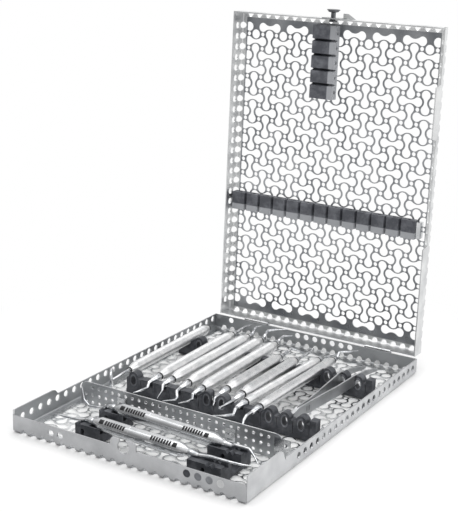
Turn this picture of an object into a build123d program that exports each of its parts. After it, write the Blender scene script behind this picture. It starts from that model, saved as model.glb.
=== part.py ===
from build123d import *

# Dental instrument cassette: a folded, perforated steel tray with a hinged lid of the
# same sheet, silicone instrument rails, a divider, a push latch and the instruments
# that lie in it.
#
# Everything is modelled in the tray's frame, in millimetres: X across the cassette, Y
# from the front (-) to the hinge (+), Z up, with the origin in the middle of the tray's
# underside. The lid stands open. Writing a sub-part moves it back by ORIGIN_Y, so that
# the origin of the files is the middle of the whole cassette's ground rectangle.
#
# The lid is first built as a tray lying on its outer face: x across, y along the lid
# from the hinge axis to its front wall, z from the outer face to the rim. One placing
# then turns it over and stands it at its hinge.

import math
import os
from dataclasses import dataclass

# ---------------------------------------------------------------- driving dimensions

SHEET = 1.0  # thickness of the folded sheet
BEND_RADIUS = 2.5  # outer radius of every fold
FOOT_DEPTH = 5.2  # how far a wall's foot reaches in before the flat panel starts
SEAM_HALF_GAP = 0.1  # half of the open seam where two walls meet at a corner

TRAY_WIDTH = 203.0
TRAY_LENGTH = 282.0
TRAY_RIM = 13.5  # height of the side and back walls
FRONT_RIM = 14.0
RIGHT_FLANGE = 21.0  # raised front quarter of the right wall
LEFT_FLANGE = 18.0
FLANGE_END_Y = -95.5
FLANGE_SHOULDER_Y = -92.5
FLANGE_FOOT_Y = -89.5
NOTCH_END_Y = -88.0
NOTCH_DEPTH = 2.0

LID_SIDE_INSET = 3.5  # the lid is this much narrower than the tray on each side
LID_LENGTH = 279.0
LID_DEPTH = 16.5
LID_RIM_GAP = 0.4  # the lid's deep walls stay this far above the tray's rim
LID_SHALLOW_CUT = 9.0  # how much of the right wall's depth is cut away
LID_CUT_ENDS = ((230.5, 279.0), (94.5, 188.0))  # along the lid, from the hinge axis
LID_CUT_SLOPE = 2.0  # how far a cut's slanted end runs along the lid
LID_BACK_RIM_CUT = 2.3  # the back wall clears the knuckles by ending here
OPEN_ANGLE = 92.3  # the lid's angle in the row's rest pose

HINGE_OFFSET = 2.0  # from the back wall's outer face to the pin's axis
HINGE_CENTRES = (-58.0, 64.0)
HINGE_LENGTH = 24.0
KNUCKLE_RADIUS = 1.9
KNUCKLE_GAP = 0.3  # between neighbouring knuckles along the pin
KNUCKLE_RELIEF = 0.4  # around a knuckle, in the other leaf
PIN_RADIUS = 1.0
PIN_CLEARANCE = 0.05  # radial, in the lid's knuckles
PIN_OVERHANG = 0.8
LEAF_THICKNESS = 1.0
LEAF_DEPTH = 9.0

# Perforation: small round holes on a lattice, and between them rounded bone shapes
# that lie across and along the sheet by turns.
CELL_X = 13.85
CELL_Y = 12.6
COLUMNS = 14
ROWS = 20
SMALL_HOLE_RADIUS = 1.8
LOBE_RADIUS = 4.0
WAIST_HALF_WIDTH = 1.5
EDGE_CUT = 2.2  # lobes of the outer columns are cut flat this far outside the column
LID_LATTICE_START = 20.0  # from the hinge axis to the lid's last row

BEND_HOLE_RADIUS = 2.8
FACE_HOLE_RADIUS = 2.8
FRONT_BEND_PITCH = 9.15
FRONT_BEND_HOLES = 21
RIGHT_ROW = (22, -69.0, 9.6)  # how many holes, the first one's y and their pitch
RIGHT_ROW_HEIGHT = 7.6
LEFT_ROW = (27, -130.9, 10.2)
LEFT_ROW_HEIGHT = 10.0
BACK_PITCH = 8.7
BACK_BEND_HOLES = 22
BACK_ROW_X = (-84.0, -13.9, -5.2, 3.5, 12.2, 20.9, 29.6, 38.3)
BACK_ROW_HEIGHT = 10.2
BACK_HOLE_RADIUS = 2.6
LID_END_PITCH = 8.9
LID_END_HOLES = 21
LID_SIDE_PITCH = 9.4
LID_SIDE_HOLES = 28
LID_FACE_ROW_HEIGHT = 9.6

KEY_RADIUS = 5.0
KEY_MOUTH = 7.0
KEY_TAB_WIDTH = 22.0
KEY_TAB_TOP = 20.3
KEY_TAB_CORNER = 2.5
SMALL_FRONT_HOLES_X = (-65.4, -56.9)
SMALL_FRONT_HOLE_Z = 8.6
SMALL_FRONT_HOLE_RADIUS = 2.6

PLUG_X = (53.6, 62.7, 71.8, 80.9)
PLUG_Z = 9.7
PLUG_RADIUS = 2.9
PLUG_FLANGE_RADIUS = 3.6
PLUG_FLANGE = 0.8
PLUG_PROUD = 0.2

STUD_DEPTH = 1.0  # the stud's axis lies this far inside the lid's rim plane
STUD_NECK_RADIUS = 2.0
STUD_CLEARANCE = 0.05
STUD_BOSS_CLEARANCE = 0.3  # radial, in the tray's keyhole
STUD_BOSS_LENGTH = 1.7
STUD_HEAD_RADIUS = 5.65
STUD_HEAD_THICKNESS = 1.0
STUD_RING_RADIUS = 3.5
STUD_RING_THICKNESS = 1.5
STUD_RING_GAP = 0.1
STUD_WALL_GAP = 0.3  # from the boss to the tray's front wall when unlocked
LATCH_PLATE_WIDTH = 17.0
LATCH_PLATE_THICKNESS = 1.0
LATCH_PLATE_ABOVE = 4.5  # past the stud's axis, towards the open side
LATCH_PLATE_BELOW = 8.0
THUMB_TAB_X = (5.0, 17.0)
THUMB_TAB_HEIGHT = 4.5
THUMB_TAB_THICKNESS = 1.0
THUMB_TAB_Z = 5.5
THUMB_TAB_RAMP = 4.8  # from the tab's side to its peak
THUMB_TAB_TOE = 2.4
THUMB_TAB_TOE_HEIGHT = 1.6

DIVIDER_Y = -71.0
DIVIDER_LEFT = -92.0
DIVIDER_RIGHT = 89.0
DIVIDER_TOP = 20.3
DIVIDER_CORNER = 5.0
DIVIDER_HOLE_RADIUS = 1.4
DIVIDER_PITCH = 6.35
DIVIDER_ROWS_Z = (4.2, 10.4, 16.6)
DIVIDER_EDGE_MARGIN = 4.0
CLIP_X = (-52.0, 46.0)
CLIP_WIDTH = 9.0
CLIP_THICKNESS = 0.8
CLIP_TOP = 15.0
CLIP_FOOT = 5.0
CLIP_SLOTS_Z = (6.5, 10.5)
CLIP_SLOT = (4.5, 1.3)  # across and up
BRACKET_WIDTH = 6.0
BRACKET_TOP = 18.0
BRACKET_LOW_TOP = 13.0
BRACKET_LOW_START = 96.0
BRACKET_WALL_GAP = 0.3
BRACKET_HOLE_RADIUS = 1.8

RAIL_PITCH = 13.9
RAIL_BASE = 3.0
RAIL_DEPTH = 7.0
RAIL_TOP = 19.5
POST_WIDTH = 13.5
POST_SHOULDER = 14.8  # height of the low posts, and of the shoulders beside a round head
POST_HEAD_HALF_WIDTH = 4.6
POST_SHOULDER_DROP = 0.8
HEAD_SHARE = 0.65  # a head that the instruments would cut to less than this is left off
POST_HOLE = (5.6, 9.0)
POST_HOLE_Z = 12.5
FRONT_RAIL_Y = -33.0
FRONT_RAIL_LEFT = -76.6
FRONT_RAIL_RIGHT = 96.0
BACK_RAIL_Y = 63.0
BACK_RAIL_LEFT = -90.5
BACK_RAIL_RIGHT = 96.0
END_BLOCK_TOP = 18.0
END_BLOCK_GAP = 0.4

SADDLE_DEPTH = 14.0
SADDLE_TOP = 13.0
SADDLE_ARCH = (3.2, 5.6)  # width and height of the tunnel beyond a probe's handle
SADDLE_TUNNEL_RISE = 0.4  # from the saddle's underside to its tunnel
SADDLE_NOTCH_WIDTH = 3.4
SADDLE_NOTCH_DEPTH = 2.6

LID_RAIL_HEIGHT = 8.0
LID_RAIL_DEPTH = 16.0
LID_RAIL_START = 100.0
LID_RAIL_LEFT = -95.0
LID_RAIL_SEGMENTS = 13
LID_SLIT = 2.6
LID_SLIT_DEPTH = 5.0
LID_RAIL_HOLE_RADIUS = 1.5
SHORT_RAIL_X = (-22.0, 0.0)
SHORT_RAIL_START = 209.5
SHORT_RAIL_PITCH = 12.6
SHORT_RAIL_SEGMENTS = 5
LID_CLIP_WIDTH = 4.5
LID_CLIP_HEIGHT = 6.0
LID_CLIP_INSET = 1.0

HANDLE_Z = 15.5  # height of the instruments' axes on the main rails
CRADLE_CLEARANCE = 0.3
SHANK_CLEARANCE = 0.5
SHANK_RADIUS = 0.8
LARGEST_SHANK_BEND = 30.0
BEND_SHARE = 0.45  # of the shorter neighbouring run that a bend may take
SMALLEST_TURN = 1.0  # degrees
SOCKET_RADIUS = 1.9
SOCKET_LENGTH = 8.0
SHANK_ENTRY = 1.0  # how far a shank starts inside its socket
HANDLE_TAPER = 7.0
HANDLE_END_RADIUS = 2.5
GROOVE_WIDTH = 0.8
GROOVE_DEPTH = 0.5

MIRROR_RADIUS = 9.0
MIRROR_THICKNESS = 2.0
MIRROR_CENTRE = (-83.5, -43.5, 13.5)
MIRROR_TURN = 31.0  # of the disc's plane from the Y axis, about Z

TWEEZER_BOTTOM = 10.6
TWEEZER_HEIGHT = 8.9
TWEEZER_SHEET = 1.2
TWEEZER_END_HEIGHT = 4.0
TWEEZER_END_RUN = 8.0  # over which the joined end grows to full height
TWEEZER_WELD_LENGTH = 7.0
TWEEZER_TIP_HEIGHT = 2.0
TWEEZER_TAPER_Y = 62.0  # behind this the blades narrow to their tips
TWEEZER_RIGHT = ((72.6, -27.0), (74.8, 0.0), (78.3, 36.0), (79.6, 62.0), (80.0, 84.0), (84.5, 96.0))
TWEEZER_LEFT = ((71.3, -27.0), (71.6, 0.0), (69.4, 30.0), (66.9, 62.0), (68.6, 82.0), (74.0, 95.0))


@dataclass(frozen=True)
class Saddle:
    """The x places of a saddle's ends, of its tunnel and of the V notches on top."""

    left: float
    right: float
    tunnel: float
    notches: tuple


LEFT_SADDLE = Saddle(-56.0, -34.0, -49.5, (-53.4,))
RIGHT_SADDLE = Saddle(45.0, 73.0, 58.0, (61.8, 66.0))


@dataclass(frozen=True)
class Instrument:
    """One hand instrument: its handle's ends, its radius and its two working ends."""

    name: str
    front: tuple
    back: tuple
    radius: float
    front_tip: tuple = ()
    back_tip: tuple = ()


# Handle ends are (x, y) on the rails' height. Tips are listed from the handle outwards.
INSTRUMENTS = (
    Instrument("mouth_mirror", (-80.7, -22.8), (-82.5, 98.0), 4.3, (MIRROR_CENTRE,)),
    Instrument(
        "scaler_1", (-53.0, -19.5), (-55.3, 94.6), 4.6,
        ((-53.4, -31.0, 14.0), (-52.6, -37.0, 12.0), (-56.5, -46.0, 12.8), (-58.5, -54.0, 11.5)),
        ((-56.6, 110.0, 15.2), (-57.4, 120.0, 15.4), (-56.0, 131.0, 14.6)),
    ),
    Instrument(
        "scaler_2", (-41.0, -19.0), (-41.2, 97.4), 4.6,
        ((-41.0, -29.0, 13.4), (-39.2, -36.0, 12.0), (-34.8, -50.0, 11.0)),
        ((-40.2, 105.0, 17.2), (-42.0, 113.0, 20.2), (-40.6, 121.0, 19.6)),
    ),
    Instrument(
        "scaler_3", (-26.0, -18.0), (-27.9, 97.4), 4.6,
        ((-26.6, -29.0, 13.4), (-26.0, -36.0, 11.4), (-19.6, -44.0, 10.8), (-23.0, -58.0, 14.6)),
        ((-28.6, 107.0, 17.6), (-29.0, 112.0, 20.0), (-24.4, 119.0, 20.0), (-17.5, 128.0, 19.0)),
    ),
    Instrument(
        "scaler_4", (-11.0, -21.0), (-12.3, 95.7), 4.6,
        ((-11.6, -32.0, 14.2), (-7.4, -42.0, 12.8), (-9.2, -58.0, 17.0)),
        ((-13.0, 105.0, 17.2), (-12.2, 111.0, 19.0), (-7.5, 118.0, 18.0)),
    ),
    Instrument(
        "excavator_1", (6.0, -11.0), (6.0, 70.8), 4.7,
        ((5.6, -22.0, 13.8), (5.4, -29.0, 12.2), (7.6, -37.0, 11.0)),
        ((6.6, 85.0, 16.6), (5.4, 93.0, 16.8), (9.6, 98.0, 14.0), (14.0, 104.0, 10.4)),
    ),
    Instrument(
        "excavator_2", (21.0, -13.0), (20.7, 71.5), 4.7,
        ((21.6, -30.0, 16.0), (22.6, -42.0, 16.6), (23.2, -50.0, 17.0)),
        ((19.6, 88.0, 14.2), (18.4, 102.0, 13.0), (17.6, 110.0, 12.6)),
    ),
    Instrument(
        "explorer", (31.0, -25.0), (36.1, 83.3), 3.5,
        ((31.0, -36.0, 14.6), (31.8, -44.0, 14.4), (34.0, -51.0, 14.6), (28.4, -58.0, 16.4), (25.0, -67.0, 18.6)),
        ((35.9, 95.0, 14.4), (37.0, 106.0, 12.8), (40.0, 115.0, 12.0)),
    ),
    Instrument(
        "plugger", (45.0, -27.0), (46.2, 90.4), 4.0,
        ((45.0, -40.0, 15.8), (46.0, -50.0, 15.0), (50.2, -61.0, 15.2)),
        ((45.6, 100.0, 14.2), (45.0, 106.0, 18.2), (50.6, 115.0, 17.0), (54.4, 125.0, 15.6)),
    ),
)

PROBE_RADIUS = 5.0
PROBE_BAND_RADIUS = 5.2
PROBE_BAND_LENGTH = 23.0
PROBE_BAND_INSET = 8.0
PROBE_AXIS_Z = 14.0
PROBES = (
    Instrument(
        "rear_probe", (-46.0, -88.6), (54.0, -94.4), PROBE_RADIUS,
        ((-58.0, -87.8, 14.6), (-74.0, -86.0, 15.2), (-86.0, -84.0, 17.2), (-90.0, -79.0, 19.0)),
        ((64.0, -94.8, 13.6), (74.0, -95.0, 13.4), (86.0, -105.0, 13.0), (90.5, -110.0, 12.0)),
    ),
    Instrument(
        "front_probe", (-44.0, -117.4), (42.0, -120.4), PROBE_RADIUS,
        ((-56.0, -117.4, 14.2), (-70.0, -118.0, 14.6), (-81.0, -120.0, 16.0)),
        ((54.0, -120.6, 13.8), (70.0, -120.8, 13.2), (80.0, -119.4, 12.4), (90.5, -115.4, 11.0)),
    ),
)

# ---------------------------------------------------------------- derived places

HALF_WIDTH = TRAY_WIDTH / 2
HALF_LENGTH = TRAY_LENGTH / 2
LID_HALF_WIDTH = HALF_WIDTH - LID_SIDE_INSET
HINGE_Y = HALF_LENGTH + HINGE_OFFSET
HINGE_Z = TRAY_RIM
KEY_Z = HINGE_Z + STUD_DEPTH
STUD_Z = LID_DEPTH - STUD_DEPTH
LID_TURN = math.radians(OPEN_ANGLE)
LID_BACK = (HINGE_Y - (LID_LENGTH - BEND_RADIUS) * math.cos(LID_TURN)
            + (LID_DEPTH - BEND_RADIUS) * math.sin(LID_TURN) + BEND_RADIUS)
ORIGIN_Y = (LID_BACK - HALF_LENGTH - PLUG_PROUD) / 2
TALL = 60.0  # longer than any cut needs

# From the lid lying on its outer face to the lid standing open at its hinge.
LID_PLACE = Pos(0, HINGE_Y, HINGE_Z) * Rot(-OPEN_ANGLE, 0, 0) * Pos(0, 0, LID_DEPTH) * Rot(180, 0, 0)

os.makedirs("parts", exist_ok=True)


def save(name, shape):
    """Write one sub-part to its own file, about the whole cassette's middle."""
    solids = [Pos(0, -ORIGIN_Y, 0) * solid for solid in shape.solids()]
    export_step(solids[0] if len(solids) == 1 else Compound(children=solids), f"parts/{name}.step")


def group(shapes):
    """Separate solids kept together as one sub-part."""
    solids = [solid for shape in shapes for solid in shape.solids()]
    return Compound(children=solids)


def spaced(count, pitch, middle=0.0):
    """Positions of a row of equally spaced features about its middle."""
    first = middle - (count - 1) * pitch / 2
    return [first + index * pitch for index in range(count)]


def block(low, high):
    """A box between two corners."""
    size = [b - a for a, b in zip(low, high)]
    middle = [(a + b) / 2 for a, b in zip(low, high)]
    return Pos(*middle) * Box(*size)


# ---------------------------------------------------------------- folded sheet walls
# A wall is built along X with its outer face on y = 0, its foot reaching to +y.


def wall_profile(height):
    """The bent strip's cross-section: upright, fold and foot."""
    inner = BEND_RADIUS - SHEET
    outer_dip = BEND_RADIUS * (1 - math.sqrt(0.5))
    inner_dip = BEND_RADIUS - inner * math.sqrt(0.5)
    edges = [
        Line((FOOT_DEPTH, 0), (BEND_RADIUS, 0)),
        ThreePointArc((BEND_RADIUS, 0), (outer_dip, outer_dip), (0, BEND_RADIUS)),
        Line((0, BEND_RADIUS), (0, height)),
        Line((0, height), (SHEET, height)),
        Line((SHEET, height), (SHEET, BEND_RADIUS)),
        ThreePointArc((SHEET, BEND_RADIUS), (inner_dip, inner_dip), (BEND_RADIUS, SHEET)),
        Line((BEND_RADIUS, SHEET), (FOOT_DEPTH, SHEET)),
        Line((FOOT_DEPTH, SHEET), (FOOT_DEPTH, 0)),
    ]
    return make_face(edges)


def folded_wall(length, height, elevation):
    """A wall with mitred ends, trimmed to its outline as seen square on."""
    strip = extrude(Plane.YZ * wall_profile(height), amount=length / 2, both=True)
    half = length / 2 - SEAM_HALF_GAP
    reach = FOOT_DEPTH + SHEET
    plan = Polyline((-half, -SHEET), (half, -SHEET), (half, 0), (half - reach, reach),
                    (reach - half, reach), (-half, 0), close=True)
    mitres = extrude(make_face(plan), amount=height + SHEET)
    outline = extrude(Plane.XZ * elevation, amount=TALL, both=True)
    return strip & mitres & outline


def top_outline(length, tops):
    """The wall's outline from its ground line up to a list of (x, height) points."""
    half = length / 2 + SHEET
    points = [(-half, -SHEET), (half, -SHEET), *reversed(tops)]
    return make_face(Polyline(*points, close=True))


def level_outline(length, height):
    """The outline of a wall that is equally high all along."""
    half = length / 2 + SHEET
    return top_outline(length, [(-half, height), (half, height)])


def face_holes(positions, height, radius=FACE_HOLE_RADIUS):
    """Cutters for round holes straight through a wall."""
    return [Pos(x, 0, height) * Rot(90, 0, 0) * Cylinder(radius, 4 * SHEET) for x in positions]


def bend_holes(positions):
    """Cutters for round holes through the middle of the fold."""
    middle = BEND_RADIUS * (1 - math.sqrt(0.5))
    cutter = Rot(-45, 0, 0) * Cylinder(BEND_HOLE_RADIUS, 4 * BEND_RADIUS)
    return [Pos(x, middle, middle) * cutter for x in positions]


def placed_wall(wall, side, half_width, half_length, middle_y=0.0):
    """Put a wall on one side of a tray of the given half sizes."""
    places = {
        "front": Pos(0, middle_y - half_length, 0),
        "right": Pos(half_width, middle_y, 0) * Rot(0, 0, 90),
        "back": Pos(0, middle_y + half_length, 0) * Rot(0, 0, 180),
        "left": Pos(-half_width, middle_y, 0) * Rot(0, 0, -90),
    }
    return places[side] * wall


# ---------------------------------------------------------------- perforated panels


def bone_wire(length):
    """A bone's outline along X: two round lobes joined by a waist of tangent arcs."""
    half = length / 2
    lobe, waist = LOBE_RADIUS, WAIST_HALF_WIDTH
    bow = (waist**2 + half**2 - lobe**2) / (2 * (lobe - waist))
    share = lobe / (lobe + bow)
    touch_x = half - half * share
    touch_y = (waist + bow) * share
    return Wire([
        ThreePointArc((touch_x, -touch_y), (half + lobe, 0), (touch_x, touch_y)).edge(),
        ThreePointArc((touch_x, touch_y), (0, waist), (-touch_x, touch_y)).edge(),
        ThreePointArc((-touch_x, touch_y), (-half - lobe, 0), (-touch_x, -touch_y)).edge(),
        ThreePointArc((-touch_x, -touch_y), (0, -waist), (touch_x, -touch_y)).edge(),
    ])


def round_wire(x, y, radius):
    """A circular hole's outline."""
    return Pos(x, y, 0) * Wire.make_circle(radius)


def cut_lobe_wire(x, y, side):
    """A lone lobe with a flat on its outer side, which is -1 or 1."""
    rise = math.sqrt(LOBE_RADIUS**2 - EDGE_CUT**2)
    low, high = (x + side * EDGE_CUT, y - rise), (x + side * EDGE_CUT, y + rise)
    far = (x - side * LOBE_RADIUS, y)
    return Wire([ThreePointArc(low, far, high).edge(), Line(high, low).edge()])


def cut_bone_wire(x, y, side):
    """A crosswise bone at an outer column, with a flat on its outer lobe."""
    half = CELL_X / 2
    lobe, waist = LOBE_RADIUS, WAIST_HALF_WIDTH
    bow = (waist**2 + half**2 - lobe**2) / (2 * (lobe - waist))
    share = lobe / (lobe + bow)
    touch_x = half - half * share
    touch_y = (waist + bow) * share
    rise = math.sqrt(lobe**2 - EDGE_CUT**2)
    flat = half + EDGE_CUT
    corner = half + lobe * math.cos(math.radians(105)), lobe * math.sin(math.radians(105))
    edges = [
        ThreePointArc((touch_x, -touch_y), (corner[0], -corner[1]), (flat, -rise)),
        Line((flat, -rise), (flat, rise)),
        ThreePointArc((flat, rise), corner, (touch_x, touch_y)),
        ThreePointArc((touch_x, touch_y), (0, waist), (-touch_x, touch_y)),
        ThreePointArc((-touch_x, touch_y), (-half - lobe, 0), (-touch_x, -touch_y)),
        ThreePointArc((-touch_x, -touch_y), (0, -waist), (touch_x, -touch_y)),
    ]
    turn = Rot(0, 0, 0 if side > 0 else 180)
    return Pos(x, y, 0) * turn * Wire([edge.edge() for edge in edges])


def crosswise_wire(column, x, y):
    """The crosswise hole between this column and the next, or what the edge leaves."""
    if column == -1:
        return cut_lobe_wire(x + CELL_X / 2, y, -1)
    if column == COLUMNS - 1:
        return cut_lobe_wire(x - CELL_X / 2, y, 1)
    if column == 0:
        return cut_bone_wire(x, y, -1)
    if column == COLUMNS - 2:
        return cut_bone_wire(x, y, 1)
    return Pos(x, y, 0) * bone_wire(CELL_X)


def lengthwise_wire(row, x, y):
    """The lengthwise hole between this row and the next, or what the edge leaves."""
    if row == -1:
        return round_wire(x, y - CELL_Y / 2, LOBE_RADIUS)
    if row == ROWS - 1:
        return round_wire(x, y + CELL_Y / 2, LOBE_RADIUS)
    return Pos(x, y, 0) * Rot(0, 0, 90) * bone_wire(CELL_Y)


def lattice_wires(first_y):
    """All the hole outlines of a panel whose row 0 lies at first_y and rows go to -y."""
    columns = spaced(COLUMNS, CELL_X)
    rows = [first_y - index * CELL_Y for index in range(ROWS)]
    wires = [round_wire(x, y, SMALL_HOLE_RADIUS) for x in columns for y in rows]
    for row in range(-1, ROWS):
        y = first_y - (row + 0.5) * CELL_Y
        for column in range(-1, COLUMNS):
            x = columns[0] + (column + 0.5) * CELL_X
            if (row + column) % 2 == 0:
                wires.append(crosswise_wire(column, x, y))
            elif 0 <= column < COLUMNS - 1:
                wires.append(lengthwise_wire(row, x, y))
    return wires


def panel(half_width, low_y, high_y, first_y):
    """A flat perforated sheet lying on z = 0."""
    border = Polyline((-half_width, low_y), (half_width, low_y), (half_width, high_y),
                      (-half_width, high_y), close=True)
    sheet = Face(Wire(border.edges()), lattice_wires(first_y))
    return extrude(sheet, amount=SHEET, dir=(0, 0, 1))


# ---------------------------------------------------------------- tray


def front_elevation():
    """The front wall's outline with the two tabs and the keyhole between them."""
    tab_low = FRONT_RIM / 2
    tab_height = KEY_TAB_TOP - tab_low
    body = level_outline(TRAY_WIDTH, FRONT_RIM)
    tabs = Pos(0, tab_low + tab_height / 2) * RectangleRounded(KEY_TAB_WIDTH, tab_height, KEY_TAB_CORNER)
    mouth = Pos(0, KEY_Z + TALL / 2) * Rectangle(KEY_MOUTH, TALL)
    return body + tabs - mouth - Pos(0, KEY_Z) * Circle(KEY_RADIUS)


def side_tops(flange, notch):
    """Rim points of a side wall from front to back: a raised flange and, if asked, a notch."""
    half = HALF_LENGTH + SHEET
    shoulder = flange - (flange - TRAY_RIM) / 4
    notch_points = [((FLANGE_FOOT_Y + NOTCH_END_Y) / 2, TRAY_RIM - NOTCH_DEPTH), (NOTCH_END_Y, TRAY_RIM)]
    return [
        (-half, flange),
        (FLANGE_END_Y, flange),
        (FLANGE_SHOULDER_Y, shoulder),
        (FLANGE_FOOT_Y, TRAY_RIM),
        *(notch_points if notch else []),
        (half, TRAY_RIM),
    ]


def hole_row(row):
    """Places of a row of equal holes along a side wall, from front to back."""
    count, first, pitch = row
    return [first + index * pitch for index in range(count)]


def tray_wall(side):
    """One of the tray's four folded walls, in its place."""
    if side == "front":
        wall = folded_wall(TRAY_WIDTH, KEY_TAB_TOP, front_elevation())
        cuts = bend_holes(spaced(FRONT_BEND_HOLES, FRONT_BEND_PITCH))
        cuts += face_holes(SMALL_FRONT_HOLES_X, SMALL_FRONT_HOLE_Z, SMALL_FRONT_HOLE_RADIUS)
        cuts += face_holes(PLUG_X, PLUG_Z, PLUG_RADIUS)
    elif side == "back":
        wall = folded_wall(TRAY_WIDTH, TRAY_RIM, level_outline(TRAY_WIDTH, TRAY_RIM))
        cuts = bend_holes(spaced(BACK_BEND_HOLES, BACK_PITCH))
        cuts += face_holes([-x for x in BACK_ROW_X], BACK_ROW_HEIGHT, BACK_HOLE_RADIUS)
    else:
        on_right = side == "right"
        flange = RIGHT_FLANGE if on_right else LEFT_FLANGE
        tops, places = side_tops(flange, on_right), hole_row(RIGHT_ROW if on_right else LEFT_ROW)
        if not on_right:  # this wall's x runs to the front
            tops, places = [(-x, z) for x, z in reversed(tops)], [-x for x in places]
        wall = folded_wall(TRAY_LENGTH, flange, top_outline(TRAY_LENGTH, tops))
        cuts = face_holes(places, RIGHT_ROW_HEIGHT if on_right else LEFT_ROW_HEIGHT, BACK_HOLE_RADIUS)
    return placed_wall(wall - cuts, side, HALF_WIDTH, HALF_LENGTH)


def tray_floor():
    """The tray's flat perforated bottom."""
    half_width = HALF_WIDTH - FOOT_DEPTH
    half_length = HALF_LENGTH - FOOT_DEPTH
    return panel(half_width, -half_length, half_length, (ROWS - 1) * CELL_Y / 2)


def id_plug(x):
    """A pressed-in marker disc in a hole of the front wall, with its flange inside."""
    front = -HALF_LENGTH
    along = Rot(90, 0, 0)
    body_length = SHEET + PLUG_PROUD
    body = Pos(x, front - PLUG_PROUD + body_length / 2, PLUG_Z) * along * Cylinder(PLUG_RADIUS, body_length)
    flange_y = front + SHEET + PLUG_FLANGE / 2
    flange = Pos(x, flange_y, PLUG_Z) * along * Cylinder(PLUG_FLANGE_RADIUS, PLUG_FLANGE)
    return body + flange


# ---------------------------------------------------------------- hinges
# Knuckles are built about the pin's axis: x along it, y outwards from the tray's back
# wall, z up. A leaf is a plate below or above the axis.


def knuckle_spans():
    """The x ranges of the outer knuckles (tray) and the middle one (lid)."""
    third = HINGE_LENGTH / 3
    half = HINGE_LENGTH / 2
    outer = [(-half, -half + third - KNUCKLE_GAP), (half - third + KNUCKLE_GAP, half)]
    middle = [(-half + third, half - third)]
    return outer, middle


def knuckle(span, bore):
    """One rolled knuckle around the axis."""
    low, high = span
    place = Pos((low + high) / 2, 0, 0) * Rot(0, 90, 0)
    return place * (Cylinder(KNUCKLE_RADIUS, high - low) - Cylinder(bore, high - low))


def hinge_leaf(spans, others, bore, inner_y):
    """A leaf plate below the axis with its knuckles, and relief for the others'."""
    half = HINGE_LENGTH / 2
    leaf = block((-half, inner_y, -LEAF_DEPTH), (half, inner_y + LEAF_THICKNESS, 0))
    for low, high in others:
        room = KNUCKLE_GAP
        top = -(KNUCKLE_RADIUS + KNUCKLE_RELIEF)
        leaf -= block((low - room, -TALL, top), (high + room, TALL, TALL))
    for span in spans:
        place = Pos(sum(span) / 2, 0, 0) * Rot(0, 90, 0)
        leaf += knuckle(span, bore)
        leaf -= place * Cylinder(bore, span[1] - span[0])
    return leaf


def tray_hinge_leaves():
    """The two leaves on the outside of the tray's back wall."""
    outer, middle = knuckle_spans()
    leaf = hinge_leaf(outer, middle, PIN_RADIUS, -HINGE_OFFSET)
    return group([Pos(x, HINGE_Y, HINGE_Z) * leaf for x in HINGE_CENTRES])


def lid_hinge_leaves():
    """The two leaves on the outside of the lid's back wall, in the lying lid's frame."""
    outer, middle = knuckle_spans()
    leaf = hinge_leaf(middle, outer, PIN_RADIUS + PIN_CLEARANCE, -LEAF_THICKNESS)
    return group([Pos(x, 0, LID_DEPTH) * leaf for x in HINGE_CENTRES])


def hinge_pins():
    """The two pins, held by the tray's knuckles."""
    length = HINGE_LENGTH + 2 * PIN_OVERHANG
    pin = Rot(0, 90, 0) * Cylinder(PIN_RADIUS, length)
    return group([Pos(x, HINGE_Y, HINGE_Z) * pin for x in HINGE_CENTRES])


# ---------------------------------------------------------------- lid, lying on its back


def lid_right_tops():
    """Rim points of the right wall: deep and shallow stretches by turns."""
    deep = LID_DEPTH - LID_RIM_GAP
    shallow = LID_DEPTH - LID_SHALLOW_CUT
    middle = LID_LENGTH / 2
    (front_low, front_high), (mid_low, mid_high) = LID_CUT_ENDS
    return [
        (-middle - SHEET, deep),
        (mid_low - middle, deep),
        (mid_low - middle + LID_CUT_SLOPE, shallow),
        (mid_high - middle - LID_CUT_SLOPE, shallow),
        (mid_high - middle, deep),
        (front_low - middle, deep),
        (front_low - middle + LID_CUT_SLOPE, shallow),
        (front_high - middle + SHEET, shallow),
    ]


def lid_wall(side):
    """One of the lid's four folded walls, lying in the lid's frame."""
    width = 2 * LID_HALF_WIDTH
    deep = LID_DEPTH - LID_RIM_GAP
    end_holes = bend_holes(spaced(LID_END_HOLES, LID_END_PITCH))
    side_places = spaced(LID_SIDE_HOLES, LID_SIDE_PITCH)
    if side == "back":
        wall = folded_wall(width, LID_DEPTH, level_outline(width, LID_DEPTH))
        stud_room = STUD_NECK_RADIUS + SHANK_CLEARANCE
        slot_low = STUD_Z - stud_room
        wall -= block((-stud_room, -TALL, slot_low), (stud_room, TALL, TALL))
        cuts = end_holes
    elif side == "front":
        top = LID_DEPTH - LID_BACK_RIM_CUT
        wall = folded_wall(width, top, level_outline(width, top))
        cuts = end_holes
    elif side == "right":
        wall = folded_wall(LID_LENGTH, deep, top_outline(LID_LENGTH, lid_right_tops()))
        cuts = bend_holes(side_places)
    else:
        wall = folded_wall(LID_LENGTH, deep, level_outline(LID_LENGTH, deep))
        cuts = bend_holes(side_places) + face_holes(side_places, LID_FACE_ROW_HEIGHT)
    return placed_wall(wall - cuts, side, LID_HALF_WIDTH, LID_LENGTH / 2, LID_LENGTH / 2)


def lid_panel():
    """The lid's flat perforated sheet."""
    half_width = LID_HALF_WIDTH - FOOT_DEPTH
    first_y = LID_LATTICE_START + (ROWS - 1) * CELL_Y
    return panel(half_width, FOOT_DEPTH, LID_LENGTH - FOOT_DEPTH, first_y)


def v_slit(width, depth, top, length):
    """A cutter for a V-shaped slit that runs along Y and opens upwards at the given height."""
    half = width / 2
    points = [(-half, top), (-half, top + SHEET), (half, top + SHEET), (half, top), (0, top - depth)]
    return extrude(Plane.XZ * make_face(Polyline(*points, close=True)), amount=length / 2, both=True)


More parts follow.
